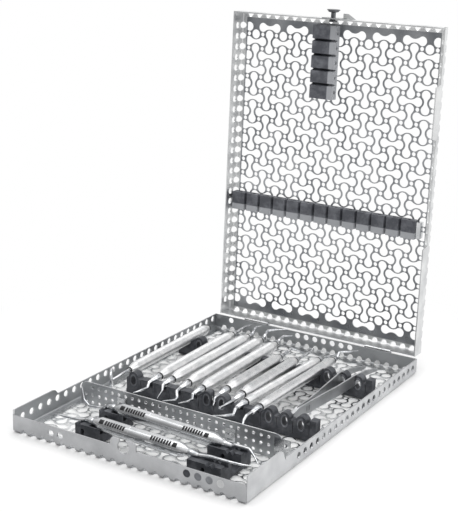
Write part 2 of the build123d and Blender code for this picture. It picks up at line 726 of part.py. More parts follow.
def lid_strip(segments, pitch, depth):
    """A strip from x = 0 to +x about the X axis, slit into segments with a hole each."""
    top = SHEET + LID_RAIL_HEIGHT
    strip = block((0, -depth / 2, SHEET), (segments * pitch, depth / 2, top))
    cutter = v_slit(LID_SLIT, LID_SLIT_DEPTH, top, 2 * depth)
    hole = Pos(0, 0, SHEET + LID_RAIL_HEIGHT / 2) * Rot(90, 0, 0) * Cylinder(LID_RAIL_HOLE_RADIUS, 2 * depth)
    cuts = [Pos(index * pitch, 0, 0) * cutter for index in range(1, segments)]
    cuts += [Pos((index + 0.5) * pitch, 0, 0) * hole for index in range(segments)]
    return strip - cuts


def lid_cross_rail():
    """The silicone strip across the lid, above the handles when the lid is closed."""
    rail = lid_strip(LID_RAIL_SEGMENTS, RAIL_PITCH, LID_RAIL_DEPTH)
    return Pos(LID_RAIL_LEFT, LID_RAIL_START + LID_RAIL_DEPTH / 2, 0) * rail


def lid_rail_clip():
    """The steel end stop beside the cross rail."""
    left = LID_RAIL_LEFT + LID_RAIL_SEGMENTS * RAIL_PITCH
    high_y = LID_RAIL_START + LID_RAIL_DEPTH - LID_CLIP_INSET
    low = (left, LID_RAIL_START + LID_CLIP_INSET, SHEET)
    high = (left + LID_CLIP_WIDTH, high_y, SHEET + LID_CLIP_HEIGHT)
    return block(low, high)


def lid_short_rail():
    """The silicone strip along the lid near its front wall."""
    left, right = SHORT_RAIL_X
    rail = lid_strip(SHORT_RAIL_SEGMENTS, SHORT_RAIL_PITCH, right - left)
    return Pos((left + right) / 2, SHORT_RAIL_START, 0) * Rot(0, 0, 90) * rail


# ---------------------------------------------------------------- latch, in the lid's frame


def stud_cylinder(radius, start, length):
    """A disc or shaft of the stud between two places along the lid."""
    return Pos(0, start + length / 2, STUD_Z) * Rot(90, 0, 0) * Cylinder(radius, length)


def latch_plate():
    """The plate on the lid's front wall that guides the stud."""
    half = LATCH_PLATE_WIDTH / 2
    low = (-half, LID_LENGTH, STUD_Z - LATCH_PLATE_BELOW)
    high = (half, LID_LENGTH + LATCH_PLATE_THICKNESS, STUD_Z + LATCH_PLATE_ABOVE)
    bore = stud_cylinder(STUD_NECK_RADIUS + STUD_CLEARANCE, LID_LENGTH, LATCH_PLATE_THICKNESS)
    return block(low, high) - bore


def thumb_tab():
    """The raised lip beside the stud that a thumb pushes against to lift the lid."""
    left, right = THUMB_TAB_X
    base = LID_LENGTH
    peak = LID_LENGTH + THUMB_TAB_HEIGHT
    shape = make_face(Polyline((left, base), (right, base), (right - THUMB_TAB_TOE, base + THUMB_TAB_TOE_HEIGHT),
                               (left + THUMB_TAB_RAMP, peak), (left, peak), close=True))
    return Pos(0, 0, THUMB_TAB_Z) * extrude(shape, amount=THUMB_TAB_THICKNESS, dir=(0, 0, 1))


def latch_stud():
    """The push stud: head, boss, neck and the ring that keeps it in the plate."""
    tray_face = HINGE_Y + HALF_LENGTH  # the tray's front face, seen along the closed lid
    boss_start = tray_face + STUD_WALL_GAP
    ring_end = LID_LENGTH - SHEET - STUD_RING_GAP
    boss_radius = KEY_RADIUS - STUD_BOSS_CLEARANCE
    ring_start = ring_end - STUD_RING_THICKNESS
    ring = stud_cylinder(STUD_RING_RADIUS, ring_start, STUD_RING_THICKNESS)
    neck = stud_cylinder(STUD_NECK_RADIUS, ring_start, boss_start - ring_start)
    boss = stud_cylinder(boss_radius, boss_start, STUD_BOSS_LENGTH)
    head = stud_cylinder(STUD_HEAD_RADIUS, boss_start + STUD_BOSS_LENGTH, STUD_HEAD_THICKNESS)
    return ring + neck + boss + head


# ---------------------------------------------------------------- divider


def divider():
    """The perforated strip that parts the front compartment from the long one."""
    length = DIVIDER_RIGHT - DIVIDER_LEFT
    height = DIVIDER_TOP - SHEET
    middle = (DIVIDER_LEFT + DIVIDER_RIGHT) / 2
    sheet = Pos(middle, SHEET + height / 2) * Rectangle(length, height)
    top_corners = sheet.vertices().sort_by(Axis.Y)[-2:]
    sheet = fillet(top_corners, DIVIDER_CORNER)
    count = int((length - 2 * DIVIDER_EDGE_MARGIN) // DIVIDER_PITCH) + 1
    centres = [(x, z) for x in spaced(count, DIVIDER_PITCH, middle) for z in DIVIDER_ROWS_Z]
    places = [Pos(x, z) for x, z in centres if not in_top_corner(x, z)]
    sheet -= [place * Circle(DIVIDER_HOLE_RADIUS) for place in places]
    return Pos(0, DIVIDER_Y, 0) * extrude(Plane.XZ * sheet, amount=SHEET / 2, both=True)


def in_top_corner(x, z):
    """Whether a hole would cut into one of the rounded top corners."""
    near_end = min(x - DIVIDER_LEFT, DIVIDER_RIGHT - x) < DIVIDER_CORNER
    return near_end and z > DIVIDER_TOP - DIVIDER_CORNER


def divider_clip(x):
    """A folded clip on the divider's front face with two slots."""
    face_y = DIVIDER_Y - SHEET / 2
    half = CLIP_WIDTH / 2
    upright = block((x - half, face_y - CLIP_THICKNESS, SHEET), (x + half, face_y, CLIP_TOP))
    foot = block((x - half, face_y - CLIP_FOOT, SHEET), (x + half, face_y, SHEET + CLIP_THICKNESS))
    slots = [Pos(x, face_y, z) * Box(CLIP_SLOT[0], CLIP_FOOT, CLIP_SLOT[1]) for z in CLIP_SLOTS_Z]
    return upright + foot - slots


def divider_bracket():
    """The strap that joins the divider's right end to the tray's wall."""
    wall_x = HALF_WIDTH - SHEET
    low_y, high_y = DIVIDER_Y - SHEET / 2 - CLIP_THICKNESS, DIVIDER_Y - SHEET / 2
    strap = block((DIVIDER_RIGHT - BRACKET_WIDTH, low_y, SHEET), (BRACKET_LOW_START, high_y, BRACKET_TOP))
    end_x = wall_x - FOOT_DEPTH
    low_strap = block((end_x, low_y, FOOT_DEPTH), (wall_x - BRACKET_WALL_GAP, high_y, BRACKET_LOW_TOP))
    ear = block((wall_x - BRACKET_WALL_GAP - CLIP_THICKNESS, low_y - BRACKET_WIDTH, FOOT_DEPTH),
                (wall_x - BRACKET_WALL_GAP, high_y, BRACKET_LOW_TOP))
    hole_x = (DIVIDER_RIGHT + BRACKET_LOW_START) / 2
    hole = Pos(hole_x, low_y, BRACKET_LOW_TOP) * Rot(90, 0, 0) * Cylinder(BRACKET_HOLE_RADIUS, BRACKET_WIDTH)
    return strap + low_strap + ear - hole


# ---------------------------------------------------------------- instruments


def bar(start, end, radius):
    """A round bar between two points."""
    base = (Align.CENTER, Align.CENTER, Align.MIN)
    return Plane(origin=start, z_dir=end - start) * Cylinder(radius, (end - start).length, align=base)


def axis_points(tool, height):
    """The handle's two ends as 3-D points."""
    front = Vector(tool.front[0], tool.front[1], height)
    back = Vector(tool.back[0], tool.back[1], height)
    return front, back


def handle(tool, height):
    """A round handle with a taper and a groove ring at each end."""
    front, back = axis_points(tool, height)
    length = (back - front).length
    outline = Polyline(
        (0, 0), (HANDLE_END_RADIUS, 0), (tool.radius, HANDLE_TAPER), (tool.radius, length - HANDLE_TAPER),
        (HANDLE_END_RADIUS, length), (0, length), close=True,
    )
    body = revolve(Plane.XZ * make_face(outline), axis=Axis.Z)
    for start in (HANDLE_TAPER, length - HANDLE_TAPER - GROOVE_WIDTH):
        ring = Cylinder(2 * tool.radius, GROOVE_WIDTH) - Cylinder(tool.radius - GROOVE_DEPTH, GROOVE_WIDTH)
        body -= Pos(0, 0, start + GROOVE_WIDTH / 2) * ring
    return Plane(origin=front, z_dir=back - front) * body


def socket_cone(root, outward):
    """The tapered socket at a handle's end."""
    base = (Align.CENTER, Align.CENTER, Align.MIN)
    return Plane(origin=root, z_dir=outward) * Cone(SOCKET_RADIUS, SHANK_RADIUS, SOCKET_LENGTH, align=base)


def shank_start(root, outward):
    """Where a shank begins, a little inside the narrow end of its socket."""
    return root + outward * (SOCKET_LENGTH - SHANK_ENTRY)


def bend_radii(route):
    """The bend radius at each inner point of a shank's route."""
    radii = []
    for before, corner, after in zip(route, route[1:], route[2:]):
        shorter = min((corner - before).length, (after - corner).length)
        turn = max((corner - before).get_angle(after - corner), SMALLEST_TURN)
        radius = BEND_SHARE * shorter / math.tan(math.radians(turn) / 2)
        radii.append(min(radius, LARGEST_SHANK_BEND))
    return radii


def working_end(root, outward, points):
    """A socket at the handle's end and the bent shank that leaves it."""
    route = [shank_start(root, outward), *(Vector(*point) for point in points)]
    path = FilletPolyline(*route, radius=bend_radii(route))
    shank = sweep(Plane(origin=path @ 0, z_dir=path % 0) * Circle(SHANK_RADIUS), path=path)
    return socket_cone(root, outward) + shank


def tips(tool, height):
    """The two working ends of an instrument, each its own solid."""
    front, back = axis_points(tool, height)
    along = (back - front).normalized()
    return group([working_end(front, along * -1, tool.front_tip), working_end(back, along, tool.back_tip)])


def mirror_head(tool):
    """The mouth mirror's neck and the rim of its round head."""
    front, back = axis_points(tool, HANDLE_Z)
    outward = (front - back).normalized()
    centre = Vector(*MIRROR_CENTRE)
    turn = math.radians(MIRROR_TURN)
    disc = Plane(origin=centre, z_dir=(math.cos(turn), math.sin(turn), 0))
    head = disc * Cylinder(MIRROR_RADIUS, MIRROR_THICKNESS)
    neck = bar(shank_start(front, outward), centre, SHANK_RADIUS)
    return socket_cone(front, outward) + neck + head


def probe_handle(tool):
    """A probe's handle, a little thicker where its coloured bands sit."""
    front, back = axis_points(tool, PROBE_AXIS_Z)
    length = (back - front).length
    mid = PROBE_BAND_INSET + PROBE_BAND_LENGTH
    outline = Polyline(
        (0, 0), (SOCKET_RADIUS, 0), (PROBE_BAND_RADIUS, PROBE_BAND_INSET), (PROBE_BAND_RADIUS, mid),
        (PROBE_RADIUS, mid), (PROBE_RADIUS, length - mid), (PROBE_BAND_RADIUS, length - mid),
        (PROBE_BAND_RADIUS, length - PROBE_BAND_INSET), (SOCKET_RADIUS, length), (0, length), close=True,
    )
    body = revolve(Plane.XZ * make_face(outline), axis=Axis.Z)
    return Plane(origin=front, z_dir=back - front) * body


def tweezer_blade(points):
    """One blade of the tweezers as a strip on edge, equally high all along."""
    shifted = [(x + TWEEZER_SHEET, y) for x, y in points]
    plan = make_face(Polyline(*points, *reversed(shifted), close=True))
    return Pos(0, 0, TWEEZER_BOTTOM) * extrude(plan, amount=TWEEZER_HEIGHT, dir=(0, 0, 1))


def tweezer_elevation():
    """The tweezers' outline from the side, narrow at the joined end and at the tips."""
    front_y, back_y = TWEEZER_RIGHT[0][1], TWEEZER_RIGHT[-1][1]
    full_y = front_y + TWEEZER_END_RUN
    top = TWEEZER_BOTTOM + TWEEZER_HEIGHT
    middle = (TWEEZER_BOTTOM + top) / 2
    end, tip = TWEEZER_END_HEIGHT / 2, TWEEZER_TIP_HEIGHT / 2
    return make_face(Polyline(
        (front_y, middle - end), (full_y, TWEEZER_BOTTOM), (TWEEZER_TAPER_Y, TWEEZER_BOTTOM),
        (back_y, middle - tip), (back_y, middle + tip), (TWEEZER_TAPER_Y, top), (full_y, top),
        (front_y, middle + end), close=True,
    ))


def tweezers():
    """College tweezers: two sprung blades welded together at the front end."""
    left, right, front_y = TWEEZER_LEFT[0][0], TWEEZER_RIGHT[0][0], TWEEZER_RIGHT[0][1]
    top = TWEEZER_BOTTOM + TWEEZER_HEIGHT
    weld = block((left, front_y, TWEEZER_BOTTOM), (right + TWEEZER_SHEET, front_y + TWEEZER_WELD_LENGTH, top))
    blades = tweezer_blade(TWEEZER_LEFT) + tweezer_blade(TWEEZER_RIGHT) + weld
    return blades & extrude(Plane.YZ * tweezer_elevation(), amount=TRAY_WIDTH, both=True)


# ---------------------------------------------------------------- room for what lies in the rails


def trough(start, end, radius, floor):
    """An upright slot over a line, open to the top, from a floor height."""
    flat = math.degrees(math.atan2(end.Y - start.Y, end.X - start.X))
    run = math.hypot(end.X - start.X, end.Y - start.Y)
    middle = (start + end) * 0.5
    return Pos(middle.X, middle.Y, floor + TALL / 2) * Rot(0, 0, flat) * Box(run + 2 * radius, 2 * radius, TALL)


def handle_slots(front, back, radius):
    """Room to lift a handle out: a round bed a little longer than it and a trough over that."""
    room = radius + CRADLE_CLEARANCE
    extra = (back - front).normalized() * CRADLE_CLEARANCE
    return [trough(front, back, room, front.Z), bar(front - extra, back + extra, room)]


def shank_slots(root, points):
    """Room to lift a socket and its shank out: a flat-bottomed trough under each run."""
    route = [root, *(Vector(*point) for point in points)]
    room = SOCKET_RADIUS + SHANK_CLEARANCE
    return [trough(start, end, room, min(start.Z, end.Z) - room) for start, end in zip(route, route[1:])]


def tweezer_slots():
    """Room to lift the two blades out of the rails."""
    floor = TWEEZER_BOTTOM - CRADLE_CLEARANCE
    half = TWEEZER_SHEET / 2 + SHANK_CLEARANCE
    slots = []
    for points in (TWEEZER_RIGHT, TWEEZER_LEFT):
        middles = [Vector(x + TWEEZER_SHEET / 2, y, floor) for x, y in points]
        slots += [trough(start, end, half, floor) for start, end in zip(middles, middles[1:])]
    return slots


def rail_slots():
    """Everything that is cut out of the main rails so that their instruments lift out."""
    slots = tweezer_slots()
    for tool in INSTRUMENTS:
        front, back = axis_points(tool, HANDLE_Z)
        slots += handle_slots(front, back, tool.radius)
        slots += shank_slots(front, tool.front_tip) + shank_slots(back, tool.back_tip)
    return slots


def meets(one, other):
    """Whether two bounding boxes overlap."""
    return (one.min.X < other.max.X and other.min.X < one.max.X
            and one.min.Y < other.max.Y and other.min.Y < one.max.Y
            and one.min.Z < other.max.Z and other.min.Z < one.max.Z)


def carve(piece, slots, ground):
    """Cut the slots that reach a piece, and keep what still stands on the ground height."""
    box = piece.bounding_box()
    near = [slot for slot in slots if meets(box, slot.bounding_box())]
    cut = piece - near if near else piece
    return [solid for solid in cut.solids() if solid.bounding_box().min.Z < ground + SEAM_HALF_GAP]


# ---------------------------------------------------------------- silicone rails in the tray


def post(x, y, tall):
    """One post of a rail: a block, and on a tall post a round head with an oval hole."""
    low, half = SHEET + RAIL_BASE, POST_WIDTH / 2
    body = block((x - half, y, low), (x + half, y + RAIL_DEPTH, POST_SHOULDER))
    if not tall:
        return body
    reach, drop = POST_HEAD_HALF_WIDTH, POST_SHOULDER - POST_SHOULDER_DROP
    sides = Polyline((-reach, POST_SHOULDER), (-half, drop), (-half, low), (half, low), (half, drop),
                     (reach, POST_SHOULDER))
    head = ThreePointArc((reach, POST_SHOULDER), (0, RAIL_TOP), (-reach, POST_SHOULDER))
    outline = make_face([*sides.edges(), head])
    outline -= Pos(0, POST_HOLE_Z) * Ellipse(POST_HOLE[0] / 2, POST_HOLE[1] / 2)
    middle_y = y + RAIL_DEPTH / 2
    return Pos(x, middle_y, 0) * extrude(Plane.XZ * outline, amount=RAIL_DEPTH / 2, both=True)


def stands_free(x, y, slots):
    """Whether the instruments leave enough of a post's head at this place."""
    reach = POST_HEAD_HALF_WIDTH
    head = block((x - reach, y, POST_SHOULDER), (x + reach, y + RAIL_DEPTH, RAIL_TOP))
    near = [slot for slot in slots if meets(head.bounding_box(), slot.bounding_box())]
    return not near or (head - near).volume > HEAD_SHARE * head.volume


def post_columns(left, right):
    """The x places of the posts that fit on a rail, on the common pitch."""
    reach = int(HALF_WIDTH // RAIL_PITCH)
    half = POST_WIDTH / 2
    columns = [index * RAIL_PITCH for index in range(-reach, reach + 1)]
    return [x for x in columns if x - half >= left and x + half <= right]


def main_rail(left, right, front_y):
    """A row of silicone posts on a base strip, cut to hold the instruments."""
    back_y = front_y + RAIL_DEPTH
    base_top = SHEET + RAIL_BASE
    base = block((left, front_y, SHEET), (right, back_y, base_top))
    columns = post_columns(left, right)
    block_left = columns[-1] + POST_WIDTH / 2 + END_BLOCK_GAP
    end_block = block((block_left, front_y, base_top), (right, back_y, END_BLOCK_TOP))
    slots = rail_slots()
    posts = [post(x, front_y, stands_free(x, front_y, slots)) for x in columns]
    pieces = [solid for finger in [*posts, end_block] for solid in carve(finger, slots, base_top)]
    return group([base, *pieces])


def saddle_profile(place):
    """A saddle seen along Y: a block with a tall tunnel and V notches on top."""
    ground = SHEET + RAIL_BASE
    middle_x = (place.left + place.right) / 2
    width, height = SADDLE_ARCH
    profile = Pos(middle_x, (ground + SADDLE_TOP) / 2) * Rectangle(place.right - place.left, SADDLE_TOP - ground)
    profile -= Pos(place.tunnel, ground + SADDLE_TUNNEL_RISE + height / 2) * SlotOverall(height, width, rotation=90)
    half, top, bottom = SADDLE_NOTCH_WIDTH / 2, SADDLE_TOP + SHEET, SADDLE_TOP - SADDLE_NOTCH_DEPTH
    for x in place.notches:
        profile -= make_face(Polyline((x - half, SADDLE_TOP), (x - half, top), (x + half, top),
                                      (x + half, SADDLE_TOP), (x, bottom), close=True))
    return profile


def level_slot(start, end, span, room):
    """A slot square to the frame that clears a bar where it crosses a span of x, or nothing."""
    low_x = max(span[0], min(start.X, end.X) - CRADLE_CLEARANCE)
    high_x = min(span[1], max(start.X, end.X) + CRADLE_CLEARANCE)
    if low_x >= high_x:
        return []
    shares = [(x - start.X) / (end.X - start.X) for x in (low_x, high_x)]
    ys = [start.Y + share * (end.Y - start.Y) for share in shares]
    floor = min(start.Z, end.Z) - room
    return [block((low_x, min(ys) - room, floor), (high_x, max(ys) + room, TALL))]


def probe_slots(span, probe):
    """Room to lift a probe out of a saddle: under its handle, and narrower under its shanks."""
    front, back = axis_points(probe, PROBE_AXIS_Z)
    slots = level_slot(front, back, span, PROBE_BAND_RADIUS + CRADLE_CLEARANCE)
    for root, points in ((front, probe.front_tip), (back, probe.back_tip)):
        route = [root, *(Vector(*point) for point in points)]
        for start, end in zip(route, route[1:]):
            slots += level_slot(start, end, span, SOCKET_RADIUS + SHANK_CLEARANCE)
    return slots


def saddle(place, probe):
    """A silicone saddle under a probe, cut so that the probe lifts out."""
    front, back = axis_points(probe, PROBE_AXIS_Z)
    share = ((place.left + place.right) / 2 - front.X) / (back.X - front.X)
    middle_y = front.Y + share * (back.Y - front.Y)
    body = extrude(Plane.XZ * saddle_profile(place), amount=SADDLE_DEPTH / 2, both=True)
    slots = probe_slots((place.left, place.right), probe)
    return carve(Pos(0, middle_y, 0) * body, slots, SHEET + RAIL_BASE)


def accessory_rail(place):
    """A strip that runs to the back under two saddles."""
    pieces = [solid for probe in PROBES for solid in saddle(place, probe)]
    low_y = min(piece.bounding_box().min.Y for piece in pieces)
    high_y = max(piece.bounding_box().max.Y for piece in pieces)
    base = block((place.left, low_y, SHEET), (place.right, high_y, SHEET + RAIL_BASE))
    return group([base, *pieces])


# ---------------------------------------------------------------- everything written out


def build_tray():
    """The fixed body: sheet walls, hinge leaves and pins, rails, divider and plugs."""
    save("tray_floor", tray_floor())
    for side in ("front", "right", "back", "left"):
        save(f"tray_{side}_wall", tray_wall(side))
    save("tray_hinge_leaves", tray_hinge_leaves())
    save("hinge_pins", hinge_pins())
    save("front_main_rail", main_rail(FRONT_RAIL_LEFT, FRONT_RAIL_RIGHT, FRONT_RAIL_Y))
    save("back_main_rail", main_rail(BACK_RAIL_LEFT, BACK_RAIL_RIGHT, BACK_RAIL_Y))
    save("left_accessory_rail", accessory_rail(LEFT_SADDLE))
    save("right_accessory_rail", accessory_rail(RIGHT_SADDLE))
    save("divider", divider())
    save("divider_clips", group([divider_clip(x) for x in CLIP_X]))
    save("divider_bracket", divider_bracket())
    for number, x in enumerate(PLUG_X, start=1):
        save(f"id_plug_{number}", id_plug(x))


def build_lid():
    """The hinged body, placed open at its hinge."""
    names = {"front": "back", "back": "front"}  # the lying lid's y runs to its front
    save("lid_panel", LID_PLACE * lid_panel())
    for side in ("front", "right", "back", "left"):
        save(f"lid_{names.get(side, side)}_wall", LID_PLACE * lid_wall(side))
    save("lid_hinge_leaves", LID_PLACE * lid_hinge_leaves())
    save("lid_cross_rail", LID_PLACE * lid_cross_rail())
    save("lid_short_rail", LID_PLACE * lid_short_rail())
    save("lid_rail_clip", LID_PLACE * lid_rail_clip())
    save("latch_plate", LID_PLACE * latch_plate())
    save("thumb_tab", LID_PLACE * thumb_tab())
    save("latch_stud", LID_PLACE * latch_stud())


def build_instruments():
    """The loose bodies: each hand instrument, the tweezers and the two probes."""
    for tool in INSTRUMENTS:
        save(f"{tool.name}_handle", handle(tool, HANDLE_Z))
        if tool.back_tip:
            save(f"{tool.name}_tips", tips(tool, HANDLE_Z))
    save("mouth_mirror_head", mirror_head(INSTRUMENTS[0]))
    save("tweezers", tweezers())
    for probe in PROBES:
        save(f"{probe.name}_handle", probe_handle(probe))
        save(f"{probe.name}_tips", tips(probe, PROBE_AXIS_Z))


build_tray()
build_lid()
build_instruments()
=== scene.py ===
"""Looks of a dental instrument cassette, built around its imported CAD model.

The frame is the CAD model's: X across the cassette, Y from the latch side to the hinge,
Z up. Sizes of the cassette are written in millimetres, and those of the studio in metres.
"""

import logging
import math
from dataclasses import dataclass
from enum import Enum
from typing import Any, Optional, Sequence, Union

import bpy
from mathutils import Matrix, Vector


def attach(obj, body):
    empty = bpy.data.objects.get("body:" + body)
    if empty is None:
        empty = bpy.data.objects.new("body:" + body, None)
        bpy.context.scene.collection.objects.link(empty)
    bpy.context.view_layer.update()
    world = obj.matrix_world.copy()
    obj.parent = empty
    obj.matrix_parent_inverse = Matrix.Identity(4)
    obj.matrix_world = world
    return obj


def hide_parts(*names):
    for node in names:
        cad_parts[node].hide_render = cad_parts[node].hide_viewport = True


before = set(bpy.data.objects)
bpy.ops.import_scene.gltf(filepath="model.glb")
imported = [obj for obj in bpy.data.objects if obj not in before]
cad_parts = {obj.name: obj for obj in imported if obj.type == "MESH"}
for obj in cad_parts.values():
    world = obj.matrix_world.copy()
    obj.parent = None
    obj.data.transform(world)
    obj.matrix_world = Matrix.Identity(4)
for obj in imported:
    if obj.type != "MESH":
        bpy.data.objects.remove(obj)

log = logging.getLogger("cassette")

MM = 0.001
SAME_PLACE = 1e-6  # vertices closer than this are one, in metres
TRAY_SHIFT = -14.6926  # from the tray's own middle to the model's origin, along Y

Point = tuple[float, float, float]
Spot = tuple[float, float]  # x and y
Span = tuple[float, float]  # a lower and an upper value, or one for each end
Station = tuple[float, float]  # height and radius on a turned body
Key = Union[str, int]  # a node's property or socket
Socket = bpy.types.NodeSocket

WHITE = (1.0, 1.0, 1.0, 1.0)
UP = Vector((0.0, 0.0, 1.0))
UPRIGHT = Matrix.Rotation(math.radians(90.0), 4, "X")  # raises a flat piece on its edge


# ---------------- colours and nodes


def linear(hex_colour: str) -> tuple[float, float, float, float]:
    """Turn an sRGB hex colour into a linear one.

    Args:
        hex_colour: six hex digits.

    Returns:
        Linear red, green, blue and an alpha of one.
    """
    values = [int(hex_colour[i:i + 2], 16) / 255 for i in (0, 2, 4)]
    red, green, blue = (v / 12.92 if v <= 0.04045 else ((v + 0.055) / 1.055) ** 2.4 for v in values)
    return red, green, blue, 1.0


class Nodes:
    """A node tree that is being filled, with its texture coordinates.

    Args:
        tree: the tree of a material or a world.
    """

    def __init__(self, tree: bpy.types.NodeTree) -> None:
        """Start with the texture coordinates."""
        self.tree = tree
        self.place = self.add("ShaderNodeTexCoord", {}).outputs

    def add(self, kind: str, inputs: dict[Key, Any]) -> bpy.types.Node:
        """Add one node of a kind, filled as below."""
        return self.fill(self.tree.nodes.new(kind), inputs)

    def fill(self, node: bpy.types.Node, inputs: dict[Key, Any]) -> bpy.types.Node:
        """Set a node's properties and sockets.

        Args:
            node: the node.
            inputs: values by the lower-case name of a property or by the name or number of a
                socket, which takes a value or a link from another socket.

        Returns:
            The same node.
        """
        for name, value in inputs.items():
            if isinstance(value, Socket):
                self.tree.links.new(value, node.inputs[name])
            elif isinstance(name, str) and hasattr(node, name):
                setattr(node, name, value)
            else:
                node.inputs[name].default_value = value
        return node

    def noise(self, vector: Socket, spacing: float, detail: float, **more: float) -> Socket:
        """Noise whose features are a spacing apart, in millimetres."""
        return self.add("ShaderNodeTexNoise", {"Vector": vector, "Scale": 1.0 / (spacing * MM),
                                               "Detail": detail, **more}).outputs["Fac"]

    def spread(self, value: Socket, source: Span, target: Span = (0.0, 1.0), **more: str) -> Socket:
        """Map the values of one range to another."""
        return self.add("ShaderNodeMapRange", {
            "Value": value, "From Min": source[0], "From Max": source[1],
            "To Min": target[0], "To Max": target[1], **more,
        }).outputs["Result"]

    def mix(self, share: Socket, *colours: Union[str, Socket]) -> Socket:
        """Mix two colours, each of them hex digits or a socket."""
        first, second = (linear(c) if isinstance(c, str) else c for c in colours)
        return self.add("ShaderNodeMix", {"data_type": "RGBA", 0: share, 6: first, 7: second}).outputs[2]

    def compute(self, kind: str, operation: str, *values: Union[Socket, Point]) -> Socket:
        """Add a node of one of the two mathematical kinds."""
        inputs = {"operation": operation, **dict(enumerate(values))}
        return self.add(f"ShaderNode{kind}", inputs).outputs["Value"]


class Surface(Nodes):
    """A new Principled material.

    Args:
        name: the material's name.
        constants: what is the same all over it, by socket.
    """

    def __init__(self, name: str, constants: dict[Key, Any]) -> None:
        """Make the material."""
        self.material = bpy.data.materials.new(name)
        self.material.use_nodes = True
        super().__init__(self.material.node_tree)
        self.shader = self.fill(self.tree.nodes["Principled BSDF"], constants)

    def finish(self, colour: Socket, gloss: Socket, height: Socket, strength: float,
               relief_mm: float) -> bpy.types.Material:
        """Connect what varies over the surface.

        Args:
            colour: its colour.
            gloss: its roughness.
            height: its relief.
            strength: how strongly the relief shows.
            relief_mm: how high it is.

        Returns:
            The material.
        """
        relief = {"Height": height, "Strength": strength, "Distance": relief_mm * MM}
        normal = self.add("ShaderNodeBump", relief).outputs["Normal"]
        self.fill(self.shader, {"Base Color": colour, "Roughness": gloss, "Normal": normal})
        return self.material


class Grain(Enum):
    """How a metal's finish runs over it."""

    BLASTED = "even, fine and without direction"
    BRUSHED_X = "drawn across the cassette"
    BRUSHED_Y = "drawn along the cassette"
    TUMBLED = "soft cloudy patches from barrel polishing"


STRETCH = {
    Grain.BLASTED: (1.0, 1.0, 1.0),
    Grain.BRUSHED_X: (0.04, 1.0, 1.0),
    Grain.BRUSHED_Y: (1.0, 0.04, 1.0),
    Grain.TUMBLED: (0.35, 0.35, 0.35),
}


@dataclass(frozen=True)
class MetalFinish:
    """A bare metal surface: its reflection colour, its gloss and the grain that its making left.

    Args:
        name: the material's name.
        bright: colour of the cleaner places.
        dull: colour of the worn or stained places.
        roughness: lowest and highest roughness over the surface.
        grain: direction of the finish.
        grain_mm: spacing of its marks, coarser than real so that it shows.
        patch_mm: size of the cloudy colour changes.
        relief_mm: height of the marks.
        inner: darker colour of the faces that look into the tray, where they differ, which paints the shade
            inside the tray.
    """

    name: str
    bright: str
    dull: str
    roughness: Span = (0.22, 0.38)
    grain: Grain = Grain.BLASTED
    grain_mm: float = 0.8
    patch_mm: float = 18.0
    relief_mm: float = 0.02
    inner: str = ""

    def build(self) -> bpy.types.Material:
        """Make the material."""
        surface = Surface(self.name, {"Metallic": 1.0})
        place = surface.place["Object"]
        drawn = surface.add("ShaderNodeMapping", {"Vector": place, "Scale": STRETCH[self.grain]})
        marks = surface.noise(drawn.outputs["Vector"], self.grain_mm, detail=3.0)
        patches = surface.noise(place, self.patch_mm, detail=4.0)
        colour = surface.mix(surface.spread(patches, (0.35, 0.65)), self.bright, self.dull)
        if self.inner:
            # Painted shade: the faces that look into the tray are darker.
            colour = self.with_painted_inner_shade(surface, colour)
        gloss = surface.spread(marks, (0.3, 0.7), self.roughness)
        return surface.finish(colour, gloss, marks, strength=0.35, relief_mm=self.relief_mm)

    def with_painted_inner_shade(self, surface: Surface, outer: Socket) -> Socket:
        """Paint the faces that look to the cassette's middle darker, as painted shade inside the tray.

        A face looks inwards where its place, seen from the middle, and its normal point opposite ways.

        Args:
            surface: the material.
            outer: the colour of its outer faces.

        Returns:
            The mix of both colours.
        """
        outward = surface.compute("VectorMath", "DOT_PRODUCT", surface.place["Object"],
                                 surface.place["Normal"])
        return surface.mix(surface.spread(outward, (-0.02, 0.02)), self.inner, outer)


SILICONE_IOR = 1.41
PAINTED_LIGHT_PALE = "ABADB1"  # paler silicone, painted light on one side of the lid's racks


@dataclass(frozen=True)
class RubberFinish:
    """Moulded silicone: matte, slightly dusty, with a fine mould texture.

    Args:
        name: the material's name.
        body: main colour.
        dust: paler colour of dry, rubbed places.
        roughness: lowest and highest roughness.
        painted_light_side: axis along which one side of the piece turns pale as painted light, and where that
            begins and ends.
    """

    name: str
    body: str
    dust: str
    roughness: Span = (0.42, 0.6)
    painted_light_side: Optional[tuple[str, float, float]] = None

    def build(self) -> bpy.types.Material:
        """Make the material."""
        surface = Surface(self.name, {"IOR": SILICONE_IOR})
        place = surface.place["Object"]
        # The mould's fine texture, and rubbed patches the size of a fingertip.
        skin = surface.noise(place, spacing=0.6, detail=2.0)
        rubbed = surface.noise(place, spacing=9.0, detail=5.0, Roughness=0.65)
        colour = surface.mix(surface.spread(rubbed, (0.42, 0.72)), self.body, self.dust)
        # Painted light: past a plane along one axis, the piece turns pale.
        if self.painted_light_side:
            axis, start, end = self.painted_light_side
            axes = surface.add("ShaderNodeSeparateXYZ", {"Vector": place})
            edge = surface.spread(axes.outputs[axis], (start * MM, end * MM))
            colour = surface.mix(edge, colour, PAINTED_LIGHT_PALE)
        gloss = surface.spread(rubbed, (0.0, 1.0), self.roughness)
        return surface.finish(colour, gloss, skin, strength=0.4, relief_mm=0.04)


